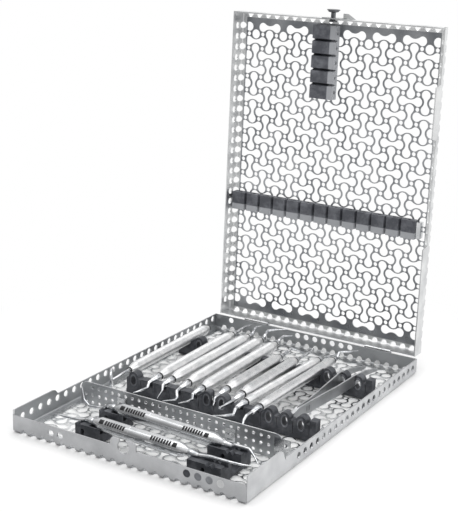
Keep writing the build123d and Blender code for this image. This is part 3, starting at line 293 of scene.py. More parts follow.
class Finishes:
    """All the finishes of the cassette, each made once."""

    def __init__(self) -> None:
        """Build every material."""
        # Electropolished stainless sheet: bright, soft cloudy reflections.
        self.sheet = MetalFinish("electropolished_sheet", "ECEDED", "CDCFD1", (0.16, 0.34), Grain.TUMBLED,
                                 2.5).build()
        # The lid's sheet is the same steel; turned up it mirrors the darker room, and its colour is painted
        # darker as painted shade so that it looks deeper.
        self.lid_sheet = MetalFinish("lid_sheet_painted_shade", "A9ABAE", "84878B", (0.24, 0.4),
                                     Grain.TUMBLED, 2.5, 26.0).build()
        # Bead-blasted outside of the walls: even light grey with hardly any reflection; their inner faces are
        # painted darker, as painted shade inside the tray.
        self.wall = MetalFinish("blasted_wall_steel", "D2D3D4", "BEBFC1", (0.38, 0.52), Grain.BLASTED, 0.7,
                                relief_mm=0.03, inner="AEB0B2").build()
        # The lid's walls are polished like its panel, so the light runs along them.
        self.lid_wall = MetalFinish("satin_lid_wall_steel", "EBECEC", "D2D3D4", (0.3, 0.46), Grain.TUMBLED,
                                    1.6).build()
        # The front wall is blasted like the others; its colour is painted darker, as painted shade where it
        # stands out of the fill light.
        self.front_wall = MetalFinish("blasted_front_wall_painted_shade", "BBBCBE", "ABACAE", (0.38, 0.52),
                                      Grain.BLASTED, 0.7, relief_mm=0.03, inner="AEB0B2").build()
        # The thumb tab is blasted so coarsely that it looks almost white.
        self.tab = MetalFinish("coarse_blasted_tab_steel", "F2F2F2", "E6E7E7", (0.6, 0.75)).build()
        self.divider = MetalFinish("satin_divider_steel", "C4C6C8", "A8AAAD", (0.36, 0.52),
                                   Grain.BRUSHED_X).build()
        self.fittings = MetalFinish("polished_fitting_steel", "DCDDDE", "B8BABC", (0.12, 0.24), Grain.BLASTED,
                                    1.0).build()
        # Knurled handles are dull on their tops and catch light on every ridge.
        self.handle = MetalFinish("knurled_handle_steel", "EFEFEF", "DCDDDE", (0.24, 0.4), Grain.BLASTED, 0.5,
                                  7.0).build()
        # The probes' plain handles are turned to a satin that shows one bright line on top.
        self.satin = MetalFinish("turned_satin_steel", "D8D9DB", "BEC0C2", (0.16, 0.28), Grain.BRUSHED_X,
                                 0.6).build()
        self.blade = MetalFinish("sprung_blade_steel", "D2D3D5", "B4B6B8", (0.3, 0.44), Grain.BRUSHED_Y,
                                 0.6).build()
        self.tip = MetalFinish("polished_tip_steel", "E6E7E9", "B4B7BB", (0.1, 0.24), Grain.BLASTED, 0.8,
                               5.0).build()
        self.dark = MetalFinish("dark_satin_steel", "78797C", "56585B", (0.3, 0.48), Grain.BRUSHED_Y, 0.6,
                                14.0).build()
        self.mirror = MetalFinish("mirror_glass_coat", "E6E8EA", "DADCDF", (0.03, 0.06), Grain.BLASTED, 1.0,
                                  12.0, 0.002).build()
        self.rack = RubberFinish("dark_grey_silicone", "3C3E43", "66686D").build()
        # The lips are paler than the rack: painted highlight round each post's hole.
        self.rack_lip = RubberFinish("silicone_lip_painted_highlight", "5C5E64", "8E9095", (0.3, 0.45)).build()
        # One side of each of the lid's racks is painted pale, as painted light.
        self.lid_rack_across = RubberFinish("silicone_across_painted_light", "505258", "7C7E84",
                                            painted_light_side=("Z", 118.8, 118.2)).build()
        self.lid_rack_upright = RubberFinish("silicone_upright_painted_light", "505258", "7C7E84",
                                             painted_light_side=("X", -5.6, -5.0)).build()
        self.groove = RubberFinish("dark_groove_ring", "17181B", "2B2C31", (0.35, 0.5)).build()
        self.band = RubberFinish("black_depth_band", "121214", "26272B", (0.3, 0.45)).build()
        self.plugs = [
            RubberFinish("marker_silicone_dark", "33353A", "4A4C52").build(),
            RubberFinish("marker_silicone_mid", "6A6C70", "808287").build(),
            RubberFinish("marker_silicone_grey", "77797D", "8D8F93").build(),
            RubberFinish("marker_silicone_light", "C0C1C2", "D2D3D4").build(),
        ]


def dress(material: bpy.types.Material, *nodes: str) -> None:
    """Give CAD nodes one material.

    Args:
        material: their finish.
        nodes: the nodes' names.
    """
    for node in nodes:
        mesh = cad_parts[node].data
        mesh.materials.clear()
        mesh.materials.append(material)
        log.info("%s dressed in %s", node, material.name)


# ---------------- modelling


def clear_selection() -> None:
    """Leave edit mode and deselect everything."""
    if bpy.context.object and bpy.context.object.mode != "OBJECT":
        bpy.ops.object.mode_set(mode="OBJECT")
    bpy.ops.object.select_all(action="DESELECT")


def select_only(piece: bpy.types.Object) -> None:
    """Make one piece the only selected and the active one."""
    clear_selection()
    piece.select_set(True)
    bpy.context.view_layer.objects.active = piece


def spot(x: float, y: float, z: float) -> Vector:
    """A point of the tray's own frame in millimetres, as metres of the model's frame."""
    return Vector((x, y + TRAY_SHIFT, z)) * MM


def edit_all() -> None:
    """Go into edit mode on the active piece with everything selected."""
    bpy.ops.object.mode_set(mode="EDIT")
    bpy.ops.mesh.select_all(action="SELECT")


def leave_edit() -> None:
    """Go back to object mode."""
    bpy.ops.object.mode_set(mode="OBJECT")


def settle(piece: bpy.types.Object, matrix: Matrix) -> bpy.types.Object:
    """Put a piece in place and leave the place in its mesh.

    Args:
        piece: a mesh piece modelled about the origin.
        matrix: where it goes.

    Returns:
        The same piece.
    """
    select_only(piece)
    piece.matrix_world = matrix
    bpy.ops.object.transform_apply(location=True, rotation=True, scale=True)
    return piece


def smooth(piece: bpy.types.Object, degrees: float = 35.0) -> bpy.types.Object:
    """Point all faces outwards and shade soft edges smooth.

    Args:
        piece: the mesh piece.
        degrees: edges sharper than this stay sharp.

    Returns:
        The same piece.
    """
    select_only(piece)
    edit_all()
    bpy.ops.mesh.remove_doubles(threshold=SAME_PLACE)
    bpy.ops.mesh.normals_make_consistent(inside=False)
    leave_edit()
    bpy.ops.object.shade_smooth_by_angle(angle=math.radians(degrees))
    return piece


def joined(pieces: Sequence[bpy.types.Object], name: str) -> bpy.types.Object:
    """Join several pieces into the first one.

    Args:
        pieces: mesh pieces.
        name: the joined piece's name.

    Returns:
        The joined piece.
    """
    clear_selection()
    for piece in pieces:
        piece.select_set(True)
    bpy.context.view_layer.objects.active = pieces[0]
    bpy.ops.object.join()
    pieces[0].name = name
    pieces[0].data.name = name
    return pieces[0]


def stand(piece: bpy.types.Object, foot: Vector, direction: Vector) -> bpy.types.Object:
    """Put an upright piece on a point, with its Z axis turned to a direction.

    Args:
        piece: a mesh piece modelled upon the origin.
        foot: where it stands, in metres.
        direction: where it points.

    Returns:
        The same piece.
    """
    return settle(piece, Matrix.Translation(foot) @ UP.rotation_difference(direction).to_matrix().to_4x4())


def turned(name: str, stations: Sequence[Station], sides: int = 32, fill: str = "NGON") -> bpy.types.Object:
    """A turned body, made by extruding a disc up the Z axis, wider or narrower at each step.

    Args:
        name: the piece's name.
        stations: height and radius pairs in millimetres, from height zero up.
        sides: faces round the body.
        fill: what fills the disc; "NOTHING" leaves an open tube.

    Returns:
        The piece, standing on the origin.
    """
    clear_selection()
    bpy.ops.mesh.primitive_circle_add(vertices=sides, radius=stations[0][1] * MM, fill_type=fill,
                                      location=(0.0, 0.0, 0.0))
    piece = bpy.context.object
    piece.name = name
    edit_all()
    for (height, radius), (next_height, next_radius) in zip(stations, stations[1:]):
        rise = (next_height - height) * MM
        share = next_radius / radius
        bpy.ops.mesh.extrude_region_move(TRANSFORM_OT_translate={"value": (0.0, 0.0, rise)})
        bpy.ops.transform.resize(value=(share, share, 1.0))
    leave_edit()
    return piece


def repeated_tube(name: str, ring: Sequence[Station], pitch: float, count: int,
                  sides: int) -> bpy.types.Object:
    """A tube of equal ribs: one rib is extruded from a circle and then copied up the axis.

    Args:
        name: the piece's name.
        ring: height and radius pairs over one pitch, in millimetres.
        pitch: height of one rib.
        count: how many ribs.
        sides: faces round the tube.

    Returns:
        The closed piece, standing on the origin.
    """
    piece = turned(name, ring, sides, "NOTHING")
    ribs = piece.modifiers.new("ribs", "ARRAY")
    ribs.use_relative_offset = False
    ribs.use_constant_offset = True
    ribs.constant_offset_displace = (0.0, 0.0, pitch * MM)
    ribs.count = count
    ribs.use_merge_vertices = True
    ribs.merge_threshold = 1e-5
    bpy.ops.object.modifier_apply(modifier=ribs.name)
    edit_all()
    bpy.ops.mesh.fill_holes(sides=0)
    leave_edit()
    return piece


def bent_rod(name: str, points: Sequence[Vector], radii: Sequence[float]) -> bpy.types.Object:
    """A round rod along a smooth line, thicker or thinner from point to point.

    Args:
        name: the piece's name.
        points: the line's control points, in metres.
        radii: the rod's radius at each, in millimetres.

    Returns:
        The rod as a mesh.
    """
    clear_selection()
    bpy.ops.curve.primitive_nurbs_path_add(location=(0.0, 0.0, 0.0))
    rod = bpy.context.object
    rod.name = name
    rod.data.splines.clear()
    line = rod.data.splines.new("NURBS")
    line.points.add(len(points) - 1)
    for control, point, radius in zip(line.points, points, radii):
        control.co = (*point, 1.0)
        control.radius = radius
    line.order_u = 3
    line.use_endpoint_u = True
    line.resolution_u = 8
    rod.data.dimensions = "3D"
    rod.data.bevel_depth = MM
    rod.data.bevel_resolution = 3
    rod.data.use_fill_caps = True
    bpy.ops.object.convert(target="MESH")
    return smooth(bpy.context.object, 60.0)


def cornered(points: Sequence[Vector], share: float = 0.24) -> list[Vector]:
    """Give each inner bend of a shank two near neighbours, so that it bends as sharply as real ones.

    Args:
        points: the bends, with both ends.
        share: how far along its runs each neighbour lies.

    Returns:
        The points with the neighbours.
    """
    line = [points[0]]
    for before, bend, after in zip(points, points[1:], points[2:]):
        line += [bend.lerp(before, share), bend, bend.lerp(after, share)]
    return [*line, points[-1]]


def finished(piece: bpy.types.Object, material: bpy.types.Material, body: str) -> None:
    """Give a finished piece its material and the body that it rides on.

    Args:
        piece: the mesh piece.
        material: its finish.
        body: the CAD body that carries it.
    """
    piece.data.materials.clear()
    piece.data.materials.append(material)
    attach(piece, body)
    log.info("%s rides on %s, %d faces", piece.name, body, len(piece.data.polygons))


# ---------------- the sheet metal


@dataclass
class SheetMetal:
    """The tray's and the lid's folded sheets, their fittings and the divider."""

    finishes: Finishes
    tray_walls: tuple[str, ...] = ("tray_right_wall", "tray_back_wall", "tray_left_wall")
    lid_walls: tuple[str, ...] = ("lid_front_wall", "lid_right_wall", "lid_back_wall", "lid_left_wall")
    fittings: tuple[str, ...] = ("tray_hinge_leaves", "lid_hinge_leaves", "hinge_pins", "latch_plate",
                                 "divider_clips", "divider_bracket", "lid_rail_clip")
    rim_line: tuple[float, float, float, float] = (-87.0, 84.0, 20.2, -71.0)  # left, right, height and y
    rim_radius: float = 0.5

    def build(self) -> None:
        """Dress every sheet and fitting."""
        dress(self.finishes.sheet, "tray_floor")
        dress(self.finishes.lid_sheet, "lid_panel")
        dress(self.finishes.divider, "divider")
        dress(self.finishes.front_wall, "tray_front_wall")
        dress(self.finishes.tab, "thumb_tab")
        dress(self.finishes.wall, *self.tray_walls)
        dress(self.finishes.lid_wall, *self.lid_walls)
        dress(self.finishes.fittings, *self.fittings)
        self.divider_rim()

    def divider_rim(self) -> None:
        """Set the polished bead along the divider's sheared top edge."""
        left, right, top, y = self.rim_line
        line = (spot(left, y, top), spot((left + right) / 2, y, top), spot(right, y, top))
        rim = bent_rod("divider_top_rim", line, (self.rim_radius,) * 3)
        finished(rim, self.finishes.fittings, "tray")


@dataclass
class LatchStud:
    """The push stud as a turned part with a rounded mushroom head."""

    finishes: Finishes
    hinge: Point = (0.0, 143.0, 13.5)
    lean: float = 2.3  # degrees that the open lid stands past upright
    start: float = 276.4  # along the lid from the hinge axis to the ring's inner face
    depth: float = 1.0  # from the lid's rim plane inwards to the stud's axis
    stations: tuple[Station, ...] = (
        (0.0, 3.2), (0.3, 3.5), (1.2, 3.5), (1.5, 3.2),  # the ring behind the plate
        (1.5, 2.0), (7.9, 2.0),  # the neck
        (8.3, 3.8), (8.8, 4.7), (9.6, 4.7),  # the boss that locks in the tray's keyhole
        (9.6, 5.2), (9.8, 5.5), (10.1, 5.65), (10.4, 5.5), (10.55, 5.1), (10.6, 3.6),  # the head
        (10.5, 3.2), (10.5, 0.4),
    )

    def build(self) -> None:
        """Turn the stud and set it through the lid's front wall."""
        stud = smooth(turned("latch_push_stud", self.stations, 48), 30.0)
        lean = math.radians(self.lean)
        along_lid = Vector((0.0, math.sin(lean), math.cos(lean)))
        inward = Vector((0.0, math.cos(lean), -math.sin(lean)))
        start = spot(*self.hinge) + along_lid * self.start * MM + inward * self.depth * MM
        stand(stud, start, along_lid)
        finished(stud, self.finishes.dark, "latch")
        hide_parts("latch_stud")


@dataclass
class MarkerPlugs:
    """The four marker discs pressed into the front wall."""

    finishes: Finishes
    places: tuple[float, ...] = (53.6, 62.7, 71.8, 80.9)
    height: float = 9.7
    wall_face: float = -141.0
    length: float = 1.8  # from the flange's back to the wall's outer face
    slots: tuple[str, ...] = ("plug_dark", "plug_mid", "plug_grey", "plug_light")
    stations: tuple[Station, ...] = (
        (0.0, 3.4), (0.2, 3.6), (0.6, 3.6), (0.8, 3.3), (0.8, 2.9), (1.85, 2.9), (1.98, 2.75), (2.0, 2.4),
        (1.8, 2.2), (1.8, 1.5), (1.95, 1.3), (1.95, 0.3),
    )

    def build(self) -> None:
        """Turn each disc with its rim and raised middle, and press it in from inside."""
        rows = zip(self.places, self.slots, self.finishes.plugs)
        for number, (x, slot, finish) in enumerate(rows, start=1):
            plug = smooth(turned(f"marker_plug_{number}", self.stations, 40), 30.0)
            inner = spot(x, self.wall_face + self.length, self.height)
            stand(plug, inner, Vector((0.0, -1.0, 0.0)))
            finished(plug, finish, "tray")
            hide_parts(f"id_plug_{number}")


# ---------------- the silicone racks


@dataclass
class SiliconeRacks:
    """The silicone racks, with the raised lip round each open post's hole, painted paler as the highlight on
    the hole's rim.
    """

    finishes: Finishes
    racks: tuple[str, ...] = ("front_main_rail", "back_main_rail", "left_accessory_rail",
                              "right_accessory_rail")
    pitch: float = 13.9  # from post to post
    hole: Span = (5.6, 9.0)  # width and height
    hole_z: float = 12.5
    lip: float = 0.45  # half the lip's thickness
    open_posts: tuple[tuple[str, float, tuple[int, ...]], ...] = (
        ("front", -33.0, (-5, 0, 1, 4, 5, 6)),
        ("back", 63.0, (-5, 4, 5, 6)),
    )  # name, the rack's front face and the columns whose posts stand open

    def build(self) -> None:
        """Dress the racks and set the lips."""
        dress(self.finishes.rack, *self.racks)
        dress(self.finishes.lid_rack_across, "lid_cross_rail")
        dress(self.finishes.lid_rack_upright, "lid_short_rail")
        for name, face_y, columns in self.open_posts:
            lips = [self.hole_lip(column * self.pitch, face_y) for column in columns]
            piece = smooth(joined(lips, f"{name}_rack_hole_lips"), 60.0)
            finished(piece, self.finishes.rack_lip, "tray")

    def hole_lip(self, x: float, face_y: float) -> bpy.types.Object:
        """One oval lip round a post's hole, on the rack's front face.

        Args:
            x: the post's middle.
            face_y: the rack's front face.

        Returns:
            The lip as a mesh piece.
        """
        clear_selection()
        bpy.ops.mesh.primitive_torus_add(major_radius=self.hole[0] / 2 * MM, minor_radius=self.lip * MM,
                                         major_segments=36, minor_segments=8)
        stretch = Matrix.Diagonal((1.0, self.hole[1] / self.hole[0], 1.0, 1.0))
        place = Matrix.Translation(spot(x, face_y, self.hole_z))
        return settle(bpy.context.object, place @ UPRIGHT @ stretch)


# ---------------- the instruments


class Grip(Enum):
    """How a handle's middle is cut."""

    RIBBED = "fine rings"
    KNURLED = "fine raised pyramids"
    PLAIN = "smooth turned"


class End(Enum):
    """What a working end finishes in."""

    POINT = "a sharp point"
    BALL = "a small ball"
    DISC = "a small cutting disc"
    BLUNT = "a flat condensing end"


HANDLE_SIDES = 28
TIP_RADIUS = {End.POINT: 0.35, End.BALL: 0.7, End.DISC: 0.7, End.BLUNT: 0.95}
TIP_BODY = {
    End.BALL: ("ball", ((0.0, 0.3), (0.2, 0.75), (0.7, 1.05), (1.2, 1.05), (1.7, 0.75), (1.9, 0.3)), 20, 0.4),
    End.DISC: ("disc", ((0.0, 1.5), (0.15, 2.0), (0.65, 2.0), (0.8, 1.5)), 24, 0.4),
    End.BLUNT: ("stub", ((0.0, 0.7), (0.3, 0.9), (1.4, 0.9), (1.5, 0.8)), 20, 1.0),
}  # name, outline, sides and how deep it sits on the shank, in line with it or, the disc, across it


@dataclass
class HandInstrument:
    """A double-ended hand instrument: handle, groove rings, sockets and bent working ends.

    Args:
        name: name of its body.
        front: the handle's front end, x and y.
        back: the handle's back end.
        radius: the handle's radius.
        grip: how its middle is cut.
        front_line: control points of the front shank.
        back_line: control points of the back shank.
        ends: what the front and the back end finish in.
        height: height of its axis.
        taper: length of each nose.
        nose_radius: radius at the nose's end.
        fullness: how much fatter the handle is than its slot, which gives way to it.
        rib_pitch: spacing of the rings or knurls.
        rib_depth: depth of the rings.
        knurl_depth: height of the knurls.
        sockets: lengths of the front and the back socket.
        shank_radius: radius at the shank's start.
    """

    finishes: Finishes
    name: str
    front: Spot
    back: Spot
    radius: float
    grip: Grip
    front_line: tuple[Point, ...]
    back_line: tuple[Point, ...]
    ends: tuple[End, End] = (End.POINT, End.POINT)
    height: float = 15.5
    taper: float = 9.0
    nose_radius: float = 2.7
    fullness: float = 0.28
    rib_pitch: float = 1.6
    rib_depth: float = 0.28
    knurl_depth: float = 0.16
    sockets: Span = (13.0, 8.0)
    shank_radius: float = 1.5

    def build(self) -> None:
        """Make the handle, its trim and both working ends."""
        start, _, ahead = self.axis()
        handle = stand(self.handle(self.length()), start, ahead)
        finished(handle, self.metal(), self.name)
        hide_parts(f"{self.name}_handle")
        self.trim()
        self.fit_working_ends()

    def metal(self) -> bpy.types.Material:
        """The handle's finish."""
        return self.finishes.handle

    def axis(self) -> tuple[Vector, Vector, Vector]:
        """The handle's front and back end in metres, and the direction from one to the other."""
        start, end = spot(*self.front, self.height), spot(*self.back, self.height)
        return start, end, (end - start).normalized()

    def length(self) -> float:
        """The handle's length in millimetres."""
        start, end, _ = self.axis()
        return (end - start).length / MM

    def fit_working_ends(self) -> None:
        """Make both working ends, in the place of the CAD ones."""
        start, end, ahead = self.axis()
        parts = [*self.working_end(start, -ahead, self.front_line, 0),
                 *self.working_end(end, ahead, self.back_line, 1)]
        tips = smooth(joined(parts, f"{self.name}_working_ends"), 50.0)
        finished(tips, self.finishes.tip, self.name)
        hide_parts(f"{self.name}_tips")

    def handle(self, length: float) -> bpy.types.Object:
        """Model the handle upright: two tapered noses and the cut grip between them.

        Args:
            length: the handle's whole length in millimetres.

        Returns:
            The handle, standing on the origin.
        """
        radius, nose, tip = self.radius + self.fullness, self.taper, self.nose_radius
        stations = ((0.0, tip), (0.4, tip + 0.4), (1.3, tip + 0.6), (nose - 3.0, radius * 0.9),
                    (nose - 0.8, radius * 0.98), (nose, radius * 0.98), (nose + 0.4, radius * 0.9))
        low = turned(f"{self.name}_grip_handle", stations, HANDLE_SIDES)
        high = turned("nose", stations, HANDLE_SIDES)
        settle(high, Matrix.Translation((0.0, 0.0, length * MM)) @ Matrix.Rotation(math.pi, 4, "X"))
        middle = self.middle(length - 2 * nose)
        settle(middle, Matrix.Translation((0.0, 0.0, nose * MM)))
        return smooth(joined([low, high, middle], f"{self.name}_grip_handle"), 28.0)

    def middle(self, length: float) -> bpy.types.Object:
        """Model the grip between the noses, upright."""
        radius, depth = self.radius + self.fullness, self.rib_depth
        if self.grip is Grip.PLAIN:
            return turned("grip", ((0.0, radius), (length, radius)), HANDLE_SIDES)
        count = round(length / self.rib_pitch)
        pitch = length / count
        if self.grip is Grip.RIBBED:
            groove = radius - depth
            rib = ((0.0, groove), (0.2 * pitch, radius), (0.7 * pitch, radius), (pitch, groove))
            return repeated_tube("grip", rib, pitch, count, HANDLE_SIDES)
        foot = radius - self.knurl_depth
        tube = repeated_tube("grip", ((0.0, foot), (pitch, foot)), pitch, count, 20)
        select_only(tube)
        bpy.ops.object.mode_set(mode="EDIT")
        bpy.ops.mesh.select_all(action="DESELECT")
        bpy.ops.mesh.select_face_by_sides(number=4, type="EQUAL")
        bpy.ops.mesh.normals_make_consistent(inside=False)
        bpy.ops.mesh.poke(offset=self.knurl_depth * MM)
        leave_edit()
        return tube

    def trim(self) -> None:
        """Set the dark ring at each joint of handle and socket."""
        start, end, ahead = self.axis()
        inner, outer = self.nose_radius - 0.2, self.nose_radius + 0.45
        outline = ((0.0, inner), (0.05, outer), (0.95, outer), (1.0, inner))
        rings = [stand(turned("ring", outline, HANDLE_SIDES), root - outward * 0.2 * MM, outward)
                 for root, outward in ((start, -ahead), (end, ahead))]
        piece = smooth(joined(rings, f"{self.name}_groove_rings"), 30.0)
        finished(piece, self.finishes.groove, self.name)

    def working_end(self, root: Vector, outward: Vector, line: Sequence[Point],
                    side: int) -> list[bpy.types.Object]:
        """Model one socket with its shank and the shape at its tip.

        Args:
            root: the handle's end.
            outward: unit vector away from the handle.
            line: the shank's points in the tray's frame.
            side: 0 for the front end, 1 for the back one.

        Returns:
            The mesh pieces.
        """
        length, end = self.sockets[side], self.ends[side]
        outline = ((0.0, 2.6), (0.8, 2.95), (0.3 * length, 2.8), (length, 1.55), (length + 0.3, 1.1))
        cone = stand(turned("socket", outline, 24), root, outward)
        points = cornered([root + outward * (length - 1.0) * MM, *(spot(*point) for point in line)])
        first, last = self.shank_radius, TIP_RADIUS[end]
        radii = [first + (last - first) * (index / (len(points) - 1)) ** 2 for index in range(len(points))]
        pieces = [cone, bent_rod("shank", points, radii)]
        direction = (points[-1] - points[-2]).normalized()
        if end in TIP_BODY:
            name, body, sides, sunk = TIP_BODY[end]
            axis = direction.cross(UP).normalized() if end is End.DISC else direction
            pieces.append(stand(turned(name, body, sides), points[-1] - axis * sunk * MM, axis))
        return pieces


@dataclass
class MouthMirror(HandInstrument):
    """The mouth mirror: one handle, a straight neck and a round glass in its rim."""

    centre: Point = (-83.5, -43.5, 13.5)
    turn: float = 31.0  # degrees from X to the axis of the round head
    nose_radius: float = 2.0
    neck: tuple[Station, ...] = ((0.0, 2.1), (0.6, 2.1), (1.2, 1.4), (12.0, 1.15), (12.1, 0.9))
    bend: float = 11.5  # from the handle's end to where the neck turns to the head
    bent_radii: Point = (1.1, 1.0, 1.0)
    rim: tuple[Station, ...] = (
        (0.0, 7.6), (0.15, 8.6), (0.5, 9.0), (1.5, 9.0), (1.9, 8.8), (2.0, 8.3), (1.6, 8.1),
    )
    half_rim: float = 1.0
    joint_depth: float = 0.2  # of the neck in the rim's closed back
    glass: tuple[Station, ...] = ((0.0, 8.1), (0.25, 8.1), (0.3, 8.0))
    glass_place: float = 0.55  # from the rim's middle to the back of the glass

    def fit_working_ends(self) -> None:
        """Make the neck, the rim and the glass, which looks away from the handle."""
        start, _, ahead = self.axis()
        middle = spot(*self.centre)
        turn = math.radians(self.turn)
        facing = Vector((math.cos(turn), math.sin(turn), 0.0))
        neck = stand(turned("neck", self.neck, 24), start, -ahead)
        bend = start - ahead * self.bend * MM
        joint = middle + facing * (self.half_rim - self.joint_depth) * MM
        shank = bent_rod("shank", (bend, bend.lerp(joint, 0.5), joint), self.bent_radii)
        rim = stand(turned("rim", self.rim, 64), middle + facing * self.half_rim * MM, -facing)
        head = smooth(joined([neck, shank, rim], f"{self.name}_rim_and_neck"), 30.0)
        finished(head, self.finishes.tip, self.name)
        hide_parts(f"{self.name}_head")
        glass = smooth(turned("mirror_glass", self.glass, 64), 20.0)
        stand(glass, middle - facing * self.glass_place * MM, -facing)
        finished(glass, self.finishes.mirror, self.name)


@dataclass
class Probe(HandInstrument):
    """A measuring probe: satin handle with black depth marks and two long bent ends."""

    half_outline: tuple[Station, ...] = (
        (0.0, 2.4), (0.4, 2.8), (6.6, 5.2), (8.0, 5.6), (34.6, 5.6), (34.9, 5.45),
    )
    height: float = 14.0
    sockets: Span = (8.0, 8.0)
    insets: Span = (8.2, 8.2)  # from the handle's left and right end to its wide marks
    block_width: float = 3.8
    block_gap: float = 1.5
    mark_count: int = 8
    mark_pitch: float = 2.3  # coarser than real, so that the marks stay apart
    mark_width: float = 1.6
    mark_thickness: float = 0.12
    mark_radius: float = 5.65
    mark_arc: Span = (236.0, 272.0)  # degrees round the handle, on its front

    def metal(self) -> bpy.types.Material:
        """The handle's finish."""
        return self.finishes.satin

    def handle(self, length: float) -> bpy.types.Object:
        """Model the handle upright, as one turned body."""
        other_half = ((length - height, radius) for height, radius in reversed(self.half_outline))
        return smooth(turned(f"{self.name}_satin_handle", (*self.half_outline, *other_half), 48), 25.0)

    def trim(self) -> None:
        """Set a wide black mark and a row of fine ones at each end of the handle."""
        start, _, rightward = self.axis()
        marks = []
        for inset, from_right in zip(self.insets, (False, True)):
            first = inset + self.block_width + self.block_gap
            fine = ((first + index * self.mark_pitch, self.mark_width) for index in range(self.mark_count))
            for place, width in ((inset, self.block_width), *fine):
                left = self.length() - place - width if from_right else place
                marks.append(stand(self.mark(width), start + rightward * left * MM, rightward))
        piece = smooth(joined(marks, f"{self.name}_depth_marks"), 25.0)
        finished(piece, self.finishes.band, self.name)

    def mark(self, width: float) -> bpy.types.Object:
        """One mark: a thin bent plate about the Z axis, spun from its end face.

        Args:
            width: its size along the handle.

        Returns:
            The mark, standing on the origin.
        """
        low, high = (math.radians(v) for v in self.mark_arc)
        clear_selection()
        bpy.ops.mesh.primitive_plane_add(size=MM, location=(0.0, 0.0, 0.0))
        shift = Matrix.Translation((self.mark_radius * MM, 0.0, width / 2 * MM))
        stretch = Matrix.Diagonal((self.mark_thickness, width, 1.0, 1.0))
        piece = settle(bpy.context.object, Matrix.Rotation(low, 4, "Z") @ shift @ UPRIGHT @ stretch)
        edit_all()
        bpy.ops.mesh.spin(steps=8, angle=high - low, center=(0.0, 0.0, 0.0), axis=(0.0, 0.0, 1.0))
        leave_edit()
        return piece


@dataclass
class Tweezers:
    """College tweezers: the CAD blades with upright grip ridges on the right one."""

    finishes: Finishes
    first: Spot = (73.9, -21.0)
    last: Spot = (75.4, -5.0)
    middle_z: float = 15.0
    count: int = 9
    ridge_size: Point = (0.5, 0.7, 4.2)
    ridge_bevel: float = 0.15

    def build(self) -> None:
        """Dress the blades and set the ridges."""
        dress(self.finishes.blade, "tweezers")
        ridges = [self.ridge(index / (self.count - 1)) for index in range(self.count)]
        piece = smooth(joined(ridges, "tweezer_grip_ridges"), 40.0)
        finished(piece, self.finishes.groove, "tweezers")

    def ridge(self, share: float) -> bpy.types.Object:
        """One upright ridge, a share of the way along the grip."""
        clear_selection()
        bpy.ops.mesh.primitive_cube_add(size=MM)
        ridge = bpy.context.object
        edit_all()
        bpy.ops.transform.resize(value=self.ridge_size)
        bpy.ops.mesh.bevel(offset=self.ridge_bevel * MM, segments=2)
        leave_edit()
        place = Vector(self.first).lerp(Vector(self.last), share)
        return settle(ridge, Matrix.Translation(spot(*place, self.middle_z)))


RACK_ROWS = (
    ("scaler_1", (-53.0, -19.5), (-55.3, 94.6), 4.6, Grip.RIBBED,
     ((-53.2, -34.6, 14.8), (-52.2, -38.2, 11.8), (-53.6, -47.0, 12.0), (-55.2, -53.0, 12.2)),
     ((-56.6, 110.0, 15.2), (-57.4, 120.0, 15.4), (-56.0, 131.0, 14.6))),
    ("scaler_2", (-41.0, -19.0), (-41.2, 97.4), 4.6, Grip.RIBBED,
     ((-40.6, -33.4, 15.0), (-38.6, -37.0, 12.3), (-35.0, -48.8, 11.2)),
     ((-40.2, 105.0, 17.2), (-42.0, 113.0, 20.2), (-40.6, 121.0, 19.6))),
    ("scaler_3", (-26.0, -18.0), (-27.9, 97.4), 4.6, Grip.RIBBED,
     ((-25.0, -37.0, 15.0), (-21.8, -41.0, 11.7), (-21.4, -43.6, 11.3), (-25.2, -56.0, 13.6)),
     ((-28.6, 107.0, 17.6), (-29.0, 112.0, 20.0), (-24.4, 119.0, 20.0), (-17.5, 128.0, 19.0))),
    ("scaler_4", (-11.0, -21.0), (-12.3, 95.7), 4.6, Grip.RIBBED,
     ((-11.0, -35.4, 15.2), (-10.0, -37.8, 12.0), (-10.6, -43.2, 12.4), (-12.8, -53.0, 13.7)),
     ((-13.0, 105.0, 17.2), (-12.2, 111.0, 19.0), (-7.5, 118.0, 18.0))),
    ("excavator_1", (6.0, -11.0), (6.0, 70.8), 4.7, Grip.KNURLED,
     ((6.8, -31.0, 15.0), (7.9, -34.0, 12.5), (8.2, -36.0, 11.0)),
     ((6.6, 85.0, 16.6), (5.4, 93.0, 16.8), (9.6, 98.0, 14.0), (14.0, 104.0, 10.4))),
    ("excavator_2", (21.0, -13.0), (20.7, 71.5), 4.7, Grip.KNURLED,
     ((21.6, -31.0, 15.6), (21.0, -38.0, 15.6), (20.4, -45.4, 15.6)),
     ((19.6, 88.0, 14.2), (18.4, 102.0, 13.0), (17.6, 110.0, 12.6)), (End.BALL, End.DISC)),
    ("explorer", (31.0, -25.0), (36.1, 83.3), 3.5, Grip.RIBBED,
     ((31.5, -41.6, 15.3), (32.0, -44.8, 12.6), (29.0, -53.0, 14.0), (25.2, -63.7, 17.0)),
     ((35.9, 95.0, 14.4), (37.0, 106.0, 12.8), (40.0, 115.0, 12.0))),
    ("plugger", (45.0, -27.0), (46.2, 90.4), 4.0, Grip.PLAIN,
     ((44.4, -46.6, 15.3), (44.8, -51.0, 13.4), (46.0, -54.4, 11.6)),
     ((45.6, 100.0, 14.2), (45.0, 106.0, 18.2), (50.6, 115.0, 17.0), (54.4, 125.0, 15.6)),
     (End.BLUNT, End.POINT)),
)  # name, front and back end, radius, grip, front and back shank, and what the ends finish in


